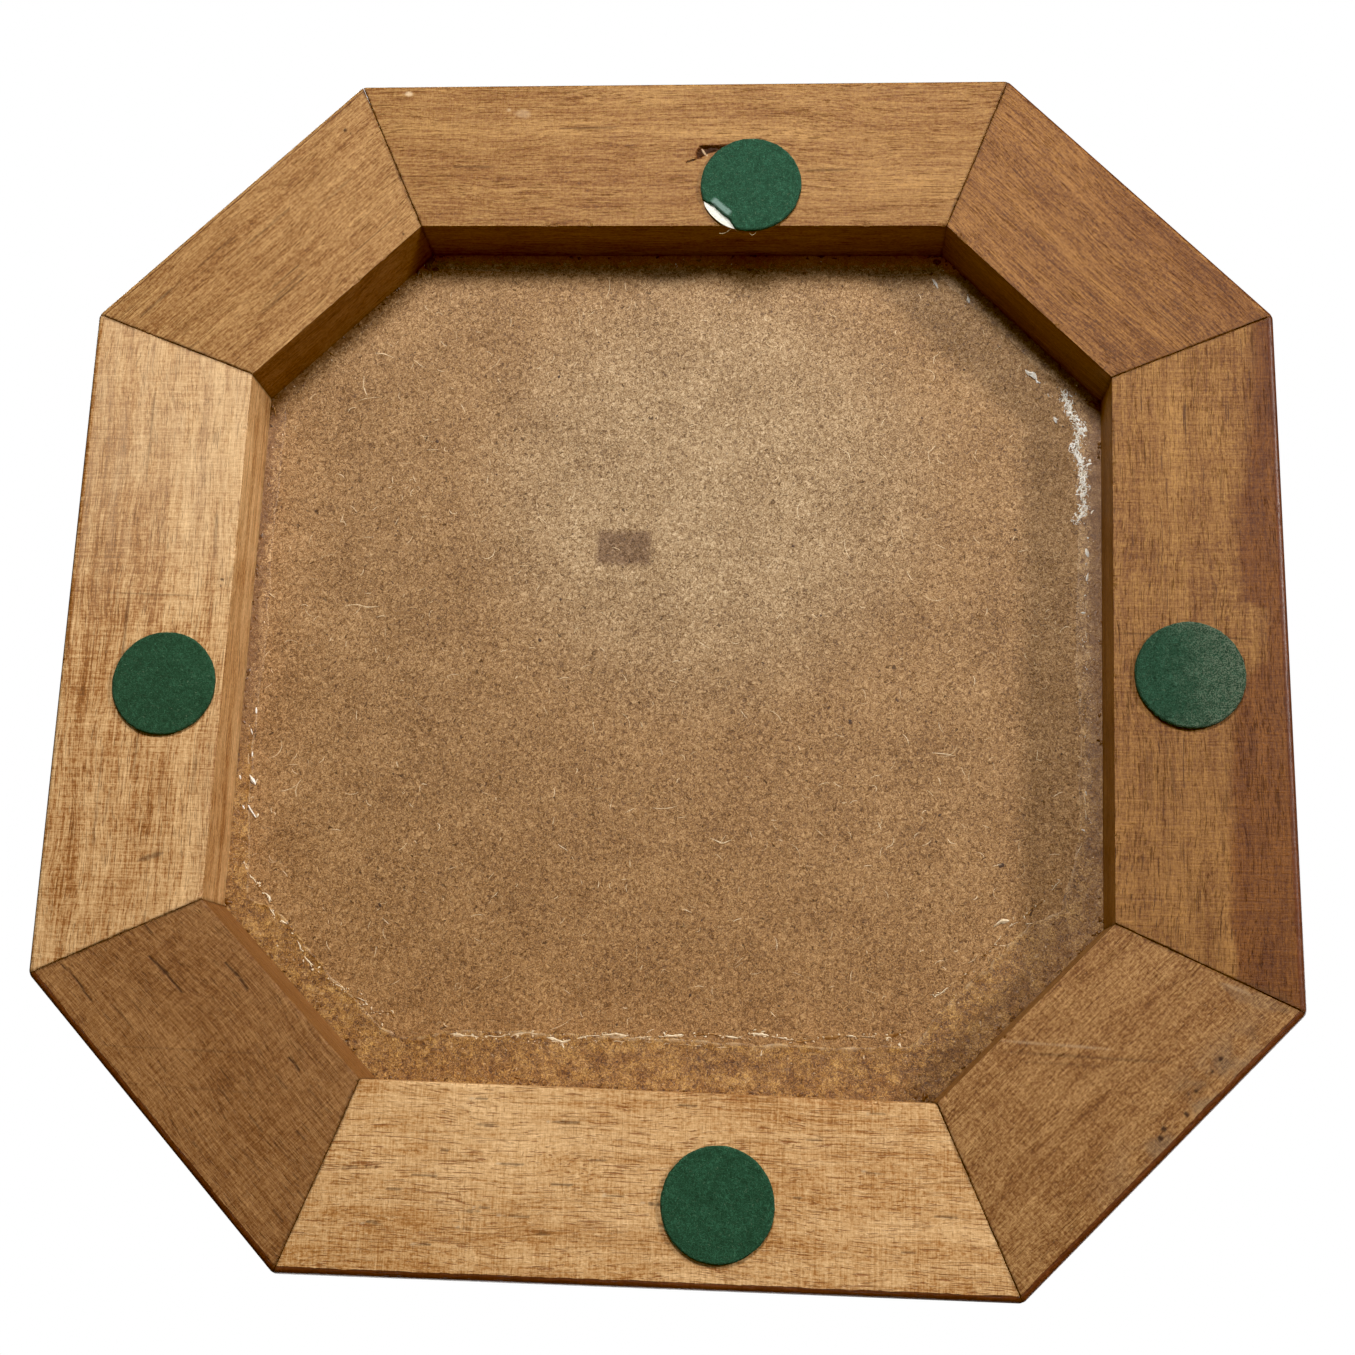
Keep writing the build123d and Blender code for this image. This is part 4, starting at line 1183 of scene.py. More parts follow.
def crust_and_glint_beads():
    pile = Pile()
    streak = [(93.8, -67.1), (94.8, -64.0), (96.2, -60.5), (98.2, -57.8), (97.0, -54.8), (96.5, -51.7), (98.5, -48.7), (98.0, -44.3), (98.6, -40.4), (98.4, -37.4), (96.7, -34.0)]
    p = resample(streak, 0.42)
    heading = np.arctan2(*(np.gradient(p, axis=0).T[::-1]))
    for k, (x, y) in enumerate(p):
        if vnoise(k * 0.22, 3.3, 241) < 0.22:
            continue
        wide = 0.5 + 1.2 * vnoise(k * 0.4, 0, 240)
        for _ in range(4):
            a = heading[k] + rng.normal(0, 0.8)
            ln = rng.uniform(0.4, 1.4)
            ox, oy = rng.normal(0, 0.5 * wide, 2)
            bend = rng.normal(0, 0.25)
            pts = [(x + ox - ln / 2 * math.cos(a), y + oy - ln / 2 * math.sin(a)), (x + ox - bend * math.sin(a), y + oy + bend * math.cos(a)), (x + ox + ln / 2 * math.cos(a), y + oy + ln / 2 * math.sin(a))]
            pile.add(*ridge(pts, rng.uniform(0.12, 0.36) * wide, rng.uniform(0.1, 0.3), 4000 + k * 4 + _, 0.3))
        for _ in range(2):
            r = rng.uniform(0.1, 0.3)
            pile.add(*blob(x + rng.normal(0, 0.8), y + rng.normal(0, 0.8), r * rng.uniform(1, 2), r * 0.7, 0.2, rng.uniform(0, 3.1), 2300 + k, m=8, rings=3))
    # short white ridges; those on the left, near x = -98, stand for glints as painted highlights, the rest are crust
    for k, pts in enumerate([[(84.9, -72.5), (85.7, -71.4), (86.6, -71.5), (87.6, -69.9)], [(85.6, -72.2), (86.4, -70.8)], [(62.4, -96.4), (63.1, -95.2), (63.6, -93.8)],
                             [(-98.3, 32.0), (-97.4, 33.2), (-96.7, 34.3)], [(-98.0, 39.3), (-97.0, 40.7), (-95.9, 42.1)], [(-99.1, 20.7), (-98.5, 22.2)], [(-100.8, 32.0), (-100.3, 33.0)],
                             [(-98.2, 26.4), (-98.0, 27.6)], [(-98.2, 15.6), (-98.1, 17.0)], [(-99.3, 39.3), (-98.9, 40.2)], [(71.0, -91.8), (71.3, -90.0)], [(91.6, -60.4), (92.2, -58.9)], [(98.9, -27.4), (99.3, -25.2)], [(99.2, -21.4), (98.8, -19.4)]]):
        pile.add(*ridge(pts, 0.5, 0.45, 4600 + k, 0.25))
    flecks = [(86.0, -71.5, .45), (87.9, -69.4, .6), (92.1, -59.5, .3), (99.0, -26.3, .6), (99.1, -20.4, .5), (98.0, -11.6, .5), (96.9, 9.3, .3), (98.0, 31.2, .35), (97.2, 39.8, .4),
              (63.0, -95.3, .35), (71.1, -90.8, .4), (-65.2, -99.6, .3), (-1.5, -100.2, .3), (99.3, -30.0, .4), (98.8, -23.6, .3), (98.4, -15.8, .28), (97.7, -5.0, .3), (98.6, 2.0, .25),
              (95.6, -70.0 + 4, .3), (90.4, -66.0, .3), (97.9, 18.0, .25)]
    for k, (x, y, r) in enumerate(flecks):
        pile.add(*blob(x, y, r * rng.uniform(0.9, 1.5), r * 0.6, 0.35, rng.uniform(0, 3.1), 2600 + k))
        for _ in range(3):
            rr = rng.uniform(0.07, 0.16)
            pile.add(*blob(x + rng.normal(0, 0.8), y + rng.normal(0, 0.8), rr, rr, 0.12, 0, 2700 + k * 3 + _, m=7, rings=3))
    for k in range(70):
        y = rng.uniform(-60, 46)
        pile.add(*blob(98.6 + rng.normal(0, 0.9), y, rng.uniform(0.07, 0.2), rng.uniform(0.06, 0.14), 0.12, rng.uniform(0, 3.1), 2900 + k, m=7, rings=3))
    # white crust colour, also used as painted highlight for the glints on the left
    g = Graph("white_crust_glue_and_glints", 0.5)
    c = g.scale(g.coords("Object"), (1000, 1000, 1000))
    t = g.noise(g.scale(c, (1.6, 1.6, 1.6)), 1.0, 4.0)
    t2 = g.noise(g.scale(c, (0.4, 0.4, 0.4)), 1.0, 2.0)
    col = g.ramp(g.wsum((0.65, t), (0.35, t2)), [(0.28, srgb(222, 204, 176)), (0.44, srgb(246, 238, 222)), (0.6, srgb(254, 252, 246))])
    mat = g.finish(col, g.math("MULTIPLY_ADD", t, 0.35, 0.25), g.bump(t, 0.5, 0.00012))
    place(pile.mesh("glue_white_crust_and_glints"), mat)


crust_and_glint_beads()


def corner_lumps():
    """Brown grime and glue packed into the corners between the panel and the walls."""
    pile = Pile()
    for k in range(300):
        side = int(rng.integers(0, 8))
        a, b = MIT[side, 2:], MIT[(side + 1) % 8, 2:]
        d = (b - a) / np.hypot(*(b - a))
        f = rng.uniform(0, 1)
        if rng.random() < 0.25:
            f = rng.choice([0.01, 0.99]) + rng.normal(0, 0.01)
        n = np.array([-d[1], d[0]])
        p = a + (b - a) * f + n * abs(rng.normal(0, 0.5))
        r = rng.uniform(0.12, 0.5)
        pile.add(*blob(p[0], p[1], r * rng.uniform(1, 2.4), r, rng.uniform(0.1, 0.5), math.atan2(d[1], d[0]) + rng.normal(0, 0.3), 3000 + k, m=9, rings=3))
    for (x, y, r) in [(-64.4, -100.2, 1.3), (-62.4, -98.6, 0.7), (101.0, -63.6, 1.0), (63.5, -100.8, 0.8), (-100.6, 62.2, 0.8), (61.6, 100.4, 0.7)]:
        pile.add(*blob(x, y, r * 1.4, r, 0.6, rng.uniform(0, 3), 3600 + int(abs(x))))
    g = Graph("corner_grime", 0.5)
    c = g.scale(g.coords("Object"), (1000, 1000, 1000))
    t = g.noise(g.scale(c, (1.6, 1.6, 1.6)), 1.0, 4.0)
    t2 = g.noise(g.scale(c, (0.2, 0.2, 0.2)), 1.0, 2.0)
    col = g.ramp(g.wsum((0.6, t), (0.4, t2)), [(0.3, srgb(66, 36, 14)), (0.7, srgb(140, 94, 48))])
    mat = g.finish(col, g.math("MULTIPLY_ADD", t, 0.35, 0.2), g.bump(t, 0.5, 0.0001))
    place(pile.mesh("corner_grime"), mat)


corner_lumps()


# --------------------------------------------------------------------------
# felt feet
def felt_material(name, base, dust=None, dust_side=0.0, patch=None):
    g = Graph(name, 0.95, 0.12)
    g.bsdf.inputs["Sheen Weight"].default_value = 0.04
    g.bsdf.inputs["Sheen Roughness"].default_value = 0.6
    c = g.attr("gr")
    w1 = g.noise(g.scale(c, (0.9, 0.9, 0.9)), 1.0, 2.0)
    cw = g.vmath("ADD", c, g.scale(g.comb(w1, g.noise(g.scale(c, (0.9, 0.9, 0.9), (5, 5, 5)), 1.0, 2.0), 0.0), (2.0, 2.0, 0)))
    n1 = g.noise(g.scale(cw, (0.7, 4.2, 1.0)), 1.0, 2.0, 0.6, 0.6)
    n2 = g.noise(g.scale(cw, (4.2, 0.7, 1.0), (2, 8, 1)), 1.0, 2.0, 0.6, 0.6)
    n3 = g.noise(g.scale(c, (0.35, 0.35, 0.35)), 1.0, 3.0)
    n4 = g.noise(g.scale(c, (3.4, 3.4, 3.4)), 1.0, 2.0, 0.6)
    tone = g.math("MULTIPLY_ADD", g.wsum((0.4, n1), (0.4, n2), (0.16, n3), (0.34, n4)), 2.9, -1.385, clamp=True)
    r, gg, b = base
    col = g.ramp(tone, [(0.0, srgb(r * 0.68, gg * 0.68, b * 0.68)), (0.5, srgb(r, gg, b)), (1.0, srgb(min(255, r * 1.42 + 6), min(255, gg * 1.36 + 6), min(255, b * 1.4 + 6)))])
    lint = g.remap(g.noise(g.scale(cw, (0.9, 5.5, 1.0), (9, 1, 1)), 1.0, 1.0), 0.66, 0.76, 0.0, 0.4)
    col = g.mix(lint, col, srgb(128, 152, 122))
    speck = g.remap(g.noise(g.scale(c, (2.4, 2.4, 2.4), (4, 1, 7)), 1.0, 2.0), 0.66, 0.76, 0.0, 0.45)
    col = g.mix(g.math("MULTIPLY", speck, g.remap(n3, 0.42, 0.62)), col, srgb(136, 160, 132))
    if patch is not None:
        px, py, dx, dy, hl, hw, pc = patch
        ox, oy = g.math("SUBTRACT", g.sep(c)[0], px), g.math("SUBTRACT", g.sep(c)[1], py)
        along = g.math("ABSOLUTE", g.wsum((dx, ox), (dy, oy)))
        across = g.math("ABSOLUTE", g.wsum((-dy, ox), (dx, oy)))
        pm = g.math("MULTIPLY", g.remap(g.math("ADD", across, g.math("MULTIPLY_ADD", n4, 0.8, -0.4)), hw * 1.25, hw * 0.6), g.remap(along, hl * 1.1, hl * 0.75))
        col = g.mix(g.math("MULTIPLY", pm, 0.8), col, srgb(*pc))
    if dust is not None:
        x = g.sep(c)[0]
        rim = g.math("MULTIPLY", g.remap(g.vmath("LENGTH", g.vmath("MULTIPLY", c, (1, 1, 0))), 8.0, 12.2), 3.5)
        m = g.remap(g.math("ADD", g.math("ADD", g.math("MULTIPLY", x, dust_side), rim), g.math("MULTIPLY_ADD", n3, 17.0, -8.5)), -7.0, 10.0, 0.06, 1.0)
        grit = g.remap(g.wsum((0.6, n4), (0.4, n1)), 0.47, 0.56)
        col = g.mix(g.math("MULTIPLY", m, g.math("MULTIPLY_ADD", grit, 0.52, 0.03)), col, srgb(*dust))
    h = g.wsum((0.5, n1), (0.5, n2), (0.6, n4), (0.3, n3))
    return g.finish(col, g.math("MULTIPLY_ADD", n4, 0.1, 0.86), g.bump(h, 0.8, 0.0003))


def felt_pad(side, seed, base, dust=None, dust_side=0.0, peel=None, patch=None):
    cx, cy = PADS[side]
    R0, T = 12.3, 1.1
    nth = 220
    th = np.linspace(0, 2 * math.pi, nth, endpoint=False)
    edge = R0 - 0.14 + 0.22 * (fbm(np.cos(th) * 3 + 9, np.sin(th) * 3 + 9, seed, 4) - 0.5) + 0.16 * (fbm(np.cos(th) * 14 + 40, np.sin(th) * 14 + 40, seed + 1, 2) - 0.5)
    lift = np.zeros(nth)
    if peel is not None:
        a0, a1, depth = peel
        d = np.degrees(th)
        inside = smooth(a0, a0 + 16, d) * (1 - smooth(a1 - 16, a1, d))
        edge = edge - depth * inside * (0.85 + 0.35 * fbm(th * 5, 0 * th, seed + 3, 3))
        lift = inside
    fr = np.concatenate([np.linspace(0, 0.94, 40)[1:], [0.955, 0.97, 0.982, 0.992, 1.0]])
    # bottom (worn) side ring by ring, then up the side, then the glued side
    rows = []
    for f in fr:
        r = edge * f
        px, py = cx + r * np.cos(th), cy + r * np.sin(th)
        din = edge - r
        z = 0.07 + 0.10 * (fbm(px * 0.9, py * 0.9, seed + 5, 3) - 0.5) + 0.05 * (fbm(px * 0.16, py * 0.16, seed + 6, 2) - 0.5)
        z = np.maximum(z, 0.005) + 0.34 * (1 - smooth(0, 0.42, din)) ** 2
        z = z - 0.0 * lift
        rows.append(np.stack([px, py, z], -1))
    for q in (0.3, 0.5, 0.7, 0.88):
        wob = 0.07 * (fbm(np.cos(th) * 9 + q * 20, np.sin(th) * 9 + 30, seed + 7, 2) - 0.5)
        r = edge + wob + 0.04 * math.sin(q * math.pi)
        rows.append(np.stack([cx + r * np.cos(th), cy + r * np.sin(th), np.full(nth, 0.34 + q * (T - 0.36))], -1))
    for f in (0.995, 0.6, 0.25):
        r = edge * f
        rows.append(np.stack([cx + r * np.cos(th), cy + r * np.sin(th), np.full(nth, T - 0.005)], -1))
    rows = np.array(rows)
    n = len(rows)
    v = rows.reshape(-1, 3)
    q = grid_faces(n, nth, close_v=True)
    c0, c1 = len(v), len(v) + 1
    v = np.vstack([v, [[cx, cy, 0.07], [cx, cy, T - 0.005]]])
    k = np.arange(nth)
    k1 = (k + 1) % nth
    tri = np.vstack([np.stack([np.full(nth, c0), k1, k], -1), np.stack([np.full(nth, c1), (n - 1) * nth + k, (n - 1) * nth + k1], -1)])
    # first ring faces down: keep all normals outwards
    gr = v.copy()
    gr[:, 0] -= cx
    gr[:, 1] -= cy
    gr[:, 2] += seed
    ob = make_mesh(side + "_felt", v, [q[:, ::-1], tri[:, ::-1]], {"gr": ("FLOAT_VECTOR", gr)}, 70)
    mat = felt_material("felt_" + side, base, dust, dust_side, patch)
    place(ob, mat, [side + "_felt_pad"])
    # loose surface fibres
    r = np.random.default_rng(seed)
    nf = 900
    rr = 12.0 * np.sqrt(r.random(nf))
    aa = r.uniform(0, 2 * math.pi, nf)
    x, y = cx + rr * np.cos(aa), cy + rr * np.sin(aa)
    if peel is not None:
        deg = np.degrees(aa)
        ok = ~((deg > peel[0] - 4) & (deg < peel[1] + 4) & (rr > 9.0))
        x, y = x[ok], y[ok]
    nf = len(x)
    px, py = curved(x, y, r.uniform(0, 6.28, nf), r.uniform(0.5, 2.0, nf), r.normal(0, 1.6, nf), 7)
    rad = np.hypot(px - cx, py - cy)
    too = np.maximum(rad / 12.2, 1.0)
    px, py = cx + (px - cx) / too, cy + (py - cy) / too
    zz = 0.035 + 0.06 * r.random((nf, 1)) + 0.03 * np.sin(np.linspace(0, 3.14, 7))[None, :] + 0.34 * (1 - smooth(0, 0.42, 12.15 - np.hypot(px - cx, py - cy))) ** 2
    zz = np.clip(zz - 0.02, 0.004, None)
    taper = np.sqrt(np.clip(1 - (2 * np.linspace(0, 1, 7) - 1) ** 2, 0.1, 1))[None, :]
    v2, q2 = strips("s", np.stack([px, py, zz], -1), r.uniform(0.018, 0.04, nf)[:, None] * taper, 0.015 * taper)
    gr2 = v2.copy()
    gr2[:, 0] -= cx
    gr2[:, 1] -= cy
    fz = make_mesh(side + "_felt_fuzz", v2, [q2], {"gr": ("FLOAT_VECTOR", gr2)}, 80)
    lighter = tuple(min(255, int(c * 1.3 + 5)) for c in base)
    place(fz, felt_material("fuzz_" + side, lighter, dust, dust_side))


def paper_material():
    g = Graph("pad_backing_paper", 0.75)
    c = g.scale(g.coords("Object"), (1000, 1000, 1000))
    n1 = g.noise(g.scale(c, (1.5, 1.5, 1.5)), 1.0, 4.0, 0.6)
    n2 = g.noise(g.scale(c, (0.3, 0.3, 0.3)), 1.0, 3.0)
    col = g.ramp(g.wsum((0.6, n1), (0.4, n2)), [(0.3, srgb(206, 204, 190)), (0.7, srgb(248, 248, 240))])
    return g.finish(col, g.math("MULTIPLY_ADD", n1, 0.2, 0.6), g.bump(n1, 0.4, 0.0001))


PAPER = paper_material()
felt_pad("left", 310, (37, 73, 52))
felt_pad("back", 320, (37, 77, 56))
felt_pad("right", 330, (33, 68, 51), dust=(128, 136, 116), dust_side=1.0)
felt_pad("front", 340, (36, 75, 56), peel=(104, 162, 1.9), patch=(-6.95, 6.04, 0.747, 0.664, 3.0, 0.75, (132, 160, 150)))


def pad_backing(side):
    """The paper backing of a pad; the front one curls where the felt has pulled back from it."""
    cx, cy = PADS[side]
    peeled = 1.0 if side == "front" else 0.0
    nth = 200
    th = np.linspace(0, 2 * math.pi, nth, endpoint=False)
    d = np.degrees(th)
    inside = peeled * smooth(100, 116, d) * (1 - smooth(150, 166, d))
    rows = []
    low_rim = 11.92 + 0.06 * (fbm(np.cos(th) * 8 + 9, np.sin(th) * 8 + 9, 350, 3) - 0.5) + 0.42 * inside
    for f in np.concatenate([[0.05, 0.3, 0.6], np.linspace(0.76, 1.0, 9)]):
        r = low_rim * f
        curl = inside * smooth(0.84, 1.0, f) * 0.62
        z = 1.1 + 0 * r - curl
        rows.append(np.stack([cx + r * np.cos(th), cy + r * np.sin(th), z], -1))
    for f in np.concatenate([np.linspace(1.0, 0.76, 9), [0.6, 0.3, 0.05]]):
        r = low_rim * f
        curl = inside * smooth(0.84, 1.0, f) * 0.62
        z = 1.245 + 0 * r - curl
        rows.append(np.stack([cx + r * np.cos(th), cy + r * np.sin(th), z], -1))
    rows = np.array(rows)
    n = len(rows)
    v = rows.reshape(-1, 3)
    q = grid_faces(n, nth, close_v=True)
    c0, c1 = len(v), len(v) + 1
    v = np.vstack([v, [[cx, cy, 1.1], [cx, cy, 1.245]]])
    k = np.arange(nth)
    k1 = (k + 1) % nth
    tri = np.vstack([np.stack([np.full(nth, c0), k1, k], -1), np.stack([np.full(nth, c1), (n - 1) * nth + k, (n - 1) * nth + k1], -1)])
    ob = make_mesh(side + "_backing_paper", v, [q[:, ::-1], tri[:, ::-1]], None, 60)
    place(ob, PAPER, [side + "_pad_backing"])
    if not peeled:
        return
    # threads of glue and felt hanging from the lifted edge
    paths = []
    for pts in ([(10.2, -100.3), (11.3, -100.6), (12.9, -101.4)], [(17.5, -100.4), (18.0, -99.9), (18.8, -100.5), (19.5, -101.7)], [(14.0, -101.3), (14.6, -100.9), (15.2, -101.4)]):
        p = resample(pts, 0.4)
        t = np.linspace(0, len(p) - 1, 12)
        p = np.stack([np.interp(t, np.arange(len(p)), p[:, 0]), np.interp(t, np.arange(len(p)), p[:, 1])], -1)
        zz = 0.95 + 0.5 * np.sin(np.linspace(0, 3.1, 12))
        paths.append(np.column_stack([p, zz]))
    v, q = strips("t", np.array(paths), 0.055, 0.05)
    g = Graph("loose_thread", 0.6)
    c = g.scale(g.coords("Object"), (1000, 1000, 1000))
    t = g.noise(g.scale(c, (1.6, 1.6, 1.6)), 1.0, 3.0)
    col = g.ramp(t, [(0.3, srgb(150, 140, 104)), (0.7, srgb(222, 208, 172))])
    mat = g.finish(col, g.math("MULTIPLY_ADD", t, 0.2, 0.5), g.bump(t, 0.3, 0.00005))
    place(make_mesh("front_pad_threads", v, [q], None, 80), mat)


for side in PADS:
    pad_backing(side)


# --------------------------------------------------------------------------
# the play side
def playing_surface():
    R, T, hole = 86.0, 6.4, 8.0
    rings = [26.5, 52.9, 79.4]
    rad = [hole, hole + 0.25, hole + 0.6, hole + 1.2]
    rad += list(np.arange(hole + 2.5, R - 1.5, 1.7))
    for r in rings:
        rad = [x for x in rad if abs(x - r) > 0.9]
        rad += [r - 0.7, r - 0.38, r - 0.2, r, r + 0.2, r + 0.38, r + 0.7]
    rad = np.array(sorted(rad))
    rad = rad[rad < R - 0.82]
    ang = list(np.linspace(0, 2 * math.pi, 360, endpoint=False))
    for a in (45, 135, 225, 315):
        c = math.radians(a)
        ang = [x for x in ang if abs((x - c + math.pi) % (2 * math.pi) - math.pi) > 0.014]
        ang += [c - 0.011, c - 0.006, c - 0.003, c, c + 0.003, c + 0.006, c + 0.011]
    ang = np.array(sorted(x % (2 * math.pi) for x in ang))
    prof = [(hole, Z_DISC, 0), (hole, Z_DISC + 2, 0), (hole, Z_PLAY - 0.5, 0)]
    prof += [(r, Z_PLAY, 1) for r in rad]
    for t in np.radians(np.linspace(0, 90, 6)):
        prof.append((R - 0.8 + 0.8 * math.sin(t), Z_PLAY - 0.8 + 0.8 * math.cos(t), 0))
    for z in np.linspace(Z_PLAY - 0.8, Z_DISC, 5)[1:]:
        prof.append((R, z, 0))
    for r in np.linspace(R, hole, 8)[1:-1]:
        prof.append((r, Z_DISC, 0))
    prof = np.array(prof)
    Rr, A = np.meshgrid(prof[:, 0], ang, indexing="ij")
    Z = np.broadcast_to(prof[:, 1][:, None], Rr.shape).copy()
    top = np.broadcast_to(prof[:, 2][:, None], Rr.shape) > 0.5
    ink = np.zeros(Rr.shape)
    for r in rings:
        m = 1 - smooth(0.15, 0.42, np.abs(Rr - r))
        ink = np.maximum(ink, np.where(top, m, 0))
    for a in (45, 135, 225, 315):
        c = math.radians(a)
        d = np.abs((A - c + math.pi) % (2 * math.pi) - math.pi) * Rr
        m = (1 - smooth(0.2, 0.5, d)) * (Rr > 52.6) * (Rr < 79.6)
        ink = np.maximum(ink, np.where(top, m, 0))
    rimdip = np.where(top, 0.35 * (1 - smooth(0, 0.6, Rr - hole)), 0)
    Z = Z - 0.16 * ink - rimdip
    X, Y = Rr * np.cos(A), Rr * np.sin(A)
    n, m = Rr.shape
    v = np.stack([X, Y, Z], -1).reshape(-1, 3)
    q = grid_faces(n, m, close_u=True, close_v=True)
    g = Graph("playing_surface_wood", 0.35)
    c = g.scale(g.coords("Object"), (1000, 1000, 1000))
    warp = g.noise(g.scale(c, (0.006, 0.02, 0.02)), 1.0, 2.0)
    cv = g.vmath("ADD", c, g.scale(g.comb(0.0, warp, 0.0), (0, 34.0, 0)))
    n_band = g.noise(g.scale(cv, (0.006, 0.16, 0.16)), 1.0, 5.0, 0.62)
    n_str = g.noise(g.scale(cv, (0.04, 1.5, 1.5)), 1.0, 3.0, 0.6)
    n_m = g.noise(g.scale(c, (0.7, 1.2, 1.2)), 1.0, 3.0, 0.6)
    n_b = g.noise(g.scale(c, (0.02, 0.02, 0.02)), 1.0, 2.0)
    tone = g.math("MULTIPLY_ADD", g.wsum((0.55, n_band), (0.35, n_str), (0.2, n_m), (0.3, n_b)), 2.4, -1.2, clamp=True)
    col = g.ramp(tone, [(0.0, srgb(166, 116, 64)), (0.5, srgb(198, 152, 96)), (1.0, srgb(222, 182, 126))])
    dash = g.remap(g.noise(g.scale(cv, (0.14, 2.6, 2.6), (3, 3, 3)), 1.0, 1.0), 0.68, 0.76)
    col = g.mix(g.math("MULTIPLY", dash, 0.45), col, srgb(122, 76, 36))
    # wear: scratches from sliding discs, darker handled areas
    sc = g.remap(g.noise(g.scale(c, (0.9, 0.06, 1.0), (7, 1, 1)), 1.0, 4.0, 0.7), 0.66, 0.74, 0.0, 0.25)
    col = g.mix(sc, col, srgb(232, 200, 152))
    grime = g.remap(g.noise(g.scale(c, (0.03, 0.03, 0.03), (4, 4, 4)), 1.0, 5.0, 0.6), 0.52, 0.72, 0.0, 0.35)
    col = g.mix(grime, col, srgb(140, 96, 52))
    col = g.mix(g.remap(g.attr("ink", "Fac"), 0.25, 0.7), col, srgb(44, 26, 16))
    side = g.remap(g.sep(c)[2], Z_PLAY - 1.0, Z_PLAY - 0.5)
    ply = g.remap(g.noise(g.scale(c, (0.02, 0.02, 1.6)), 1.0, 1.0), 0.35, 0.65)
    edge = g.mix(ply, srgb(112, 70, 38), srgb(160, 112, 64))
    col = g.mix(side, edge, col)
    rr = g.math("ADD", g.math("MULTIPLY_ADD", n_m, 0.18, 0.22), g.math("MULTIPLY", sc, 0.5))
    h = g.wsum((0.4, n_str), (0.3, n_m), (-0.6, dash), (0.4, sc))
    mat = g.finish(col, rr, g.bump(h, 0.25, 0.00012))
    ob = make_mesh("playing_disc", v, [q], {"ink": ("FLOAT", ink.ravel())}, 40)
    place(ob, mat, ["playing_surface"])


playing_surface()


def lathe(pile, prof, cx, cy, tilt=(0, 0), seg=28, pivot=0.0):
    prof = np.asarray(prof, float)
    th = np.linspace(0, 2 * math.pi, seg, endpoint=False)
    r, z = prof[:, 0][:, None], prof[:, 1][:, None]
    X = r * np.cos(th)[None, :] + tilt[0] * (z - pivot)
    Y = r * np.sin(th)[None, :] + tilt[1] * (z - pivot)
    Z = np.broadcast_to(z, X.shape)
    v = np.stack([X + cx, Y + cy, Z], -1).reshape(-1, 3)
    pile.add(v, grid_faces(len(prof), seg, close_u=True, close_v=True))


def pegs():
    pins, tubes = Pile(), Pile()
    r = np.random.default_rng(77)
    for k in range(8):
        t = (k + 0.5) * math.pi / 4
        x, y = 26.5 * math.cos(t), 26.5 * math.sin(t)
        tilt = tuple(r.normal(0, 0.012, 2))
        z1 = Z_PLAY + 4.6
        prof = [(0.02, Z_PLAY - 5.2), (0.45, Z_PLAY - 5.1), (0.78, Z_PLAY - 4.6), (0.78, z1 - 0.05), (1.42, z1 - 0.02), (1.5, z1 + 0.1)]
        for a in np.radians(np.linspace(0, 90, 8)):
            prof.append((0.02 + 1.48 * math.cos(a), z1 + 0.15 + 0.85 * math.sin(a)))
        lathe(pins, prof, x, y, tilt, 26, Z_PLAY)
        bul = r.uniform(-0.03, 0.06)
        ins, out = 0.82, 2.0
        prof = [(ins, Z_PLAY + 0.12), (out - 0.35, Z_PLAY + 0.02), (out - 0.05, Z_PLAY + 0.22)]
        for q in np.linspace(0.08, 0.92, 9):
            prof.append((out - 0.06 + (0.06 + bul) * math.sin(q * math.pi), Z_PLAY + q * 4.55))
        prof += [(out - 0.05, z1 - 0.25), (out - 0.35, z1 - 0.06), (ins + 0.25, z1 - 0.05), (ins, z1 - 0.2)]
        lathe(tubes, prof, x, y, tilt, 32, Z_PLAY)
    g = Graph("brass_pin", 0.28)
    g.bsdf.inputs["Metallic"].default_value = 1.0
    c = g.scale(g.coords("Object"), (1000, 1000, 1000))
    t = g.noise(g.scale(c, (1.8, 1.8, 1.8)), 1.0, 4.0, 0.6)
    t2 = g.noise(g.scale(c, (0.9, 0.9, 6.0)), 1.0, 2.0)
    col = g.ramp(g.wsum((0.6, t), (0.4, t2)), [(0.3, srgb(138, 98, 44)), (0.55, srgb(198, 156, 82)), (0.8, srgb(226, 190, 118))])
    place(pins.mesh("peg_pins_brass", 40), g.finish(col, g.math("MULTIPLY_ADD", t, 0.4, 0.1), g.bump(t, 0.25, 0.00005)), ["peg_pins"])
    g = Graph("sleeve_rubber_aged", 0.55)
    c = g.scale(g.coords("Object"), (1000, 1000, 1000))
    t = g.noise(g.scale(c, (1.4, 1.4, 1.4)), 1.0, 4.0, 0.6)
    t2 = g.noise(g.scale(c, (0.25, 0.25, 0.5)), 1.0, 2.0)
    col = g.ramp(g.wsum((0.6, t), (0.4, t2)), [(0.3, srgb(150, 96, 58)), (0.55, srgb(196, 146, 98)), (0.8, srgb(214, 172, 126))])
    place(tubes.mesh("peg_sleeve_tubes", 50), g.finish(col, g.math("MULTIPLY_ADD", t, 0.25, 0.42), g.bump(t, 0.35, 0.0001)), ["peg_sleeves"])


pegs()

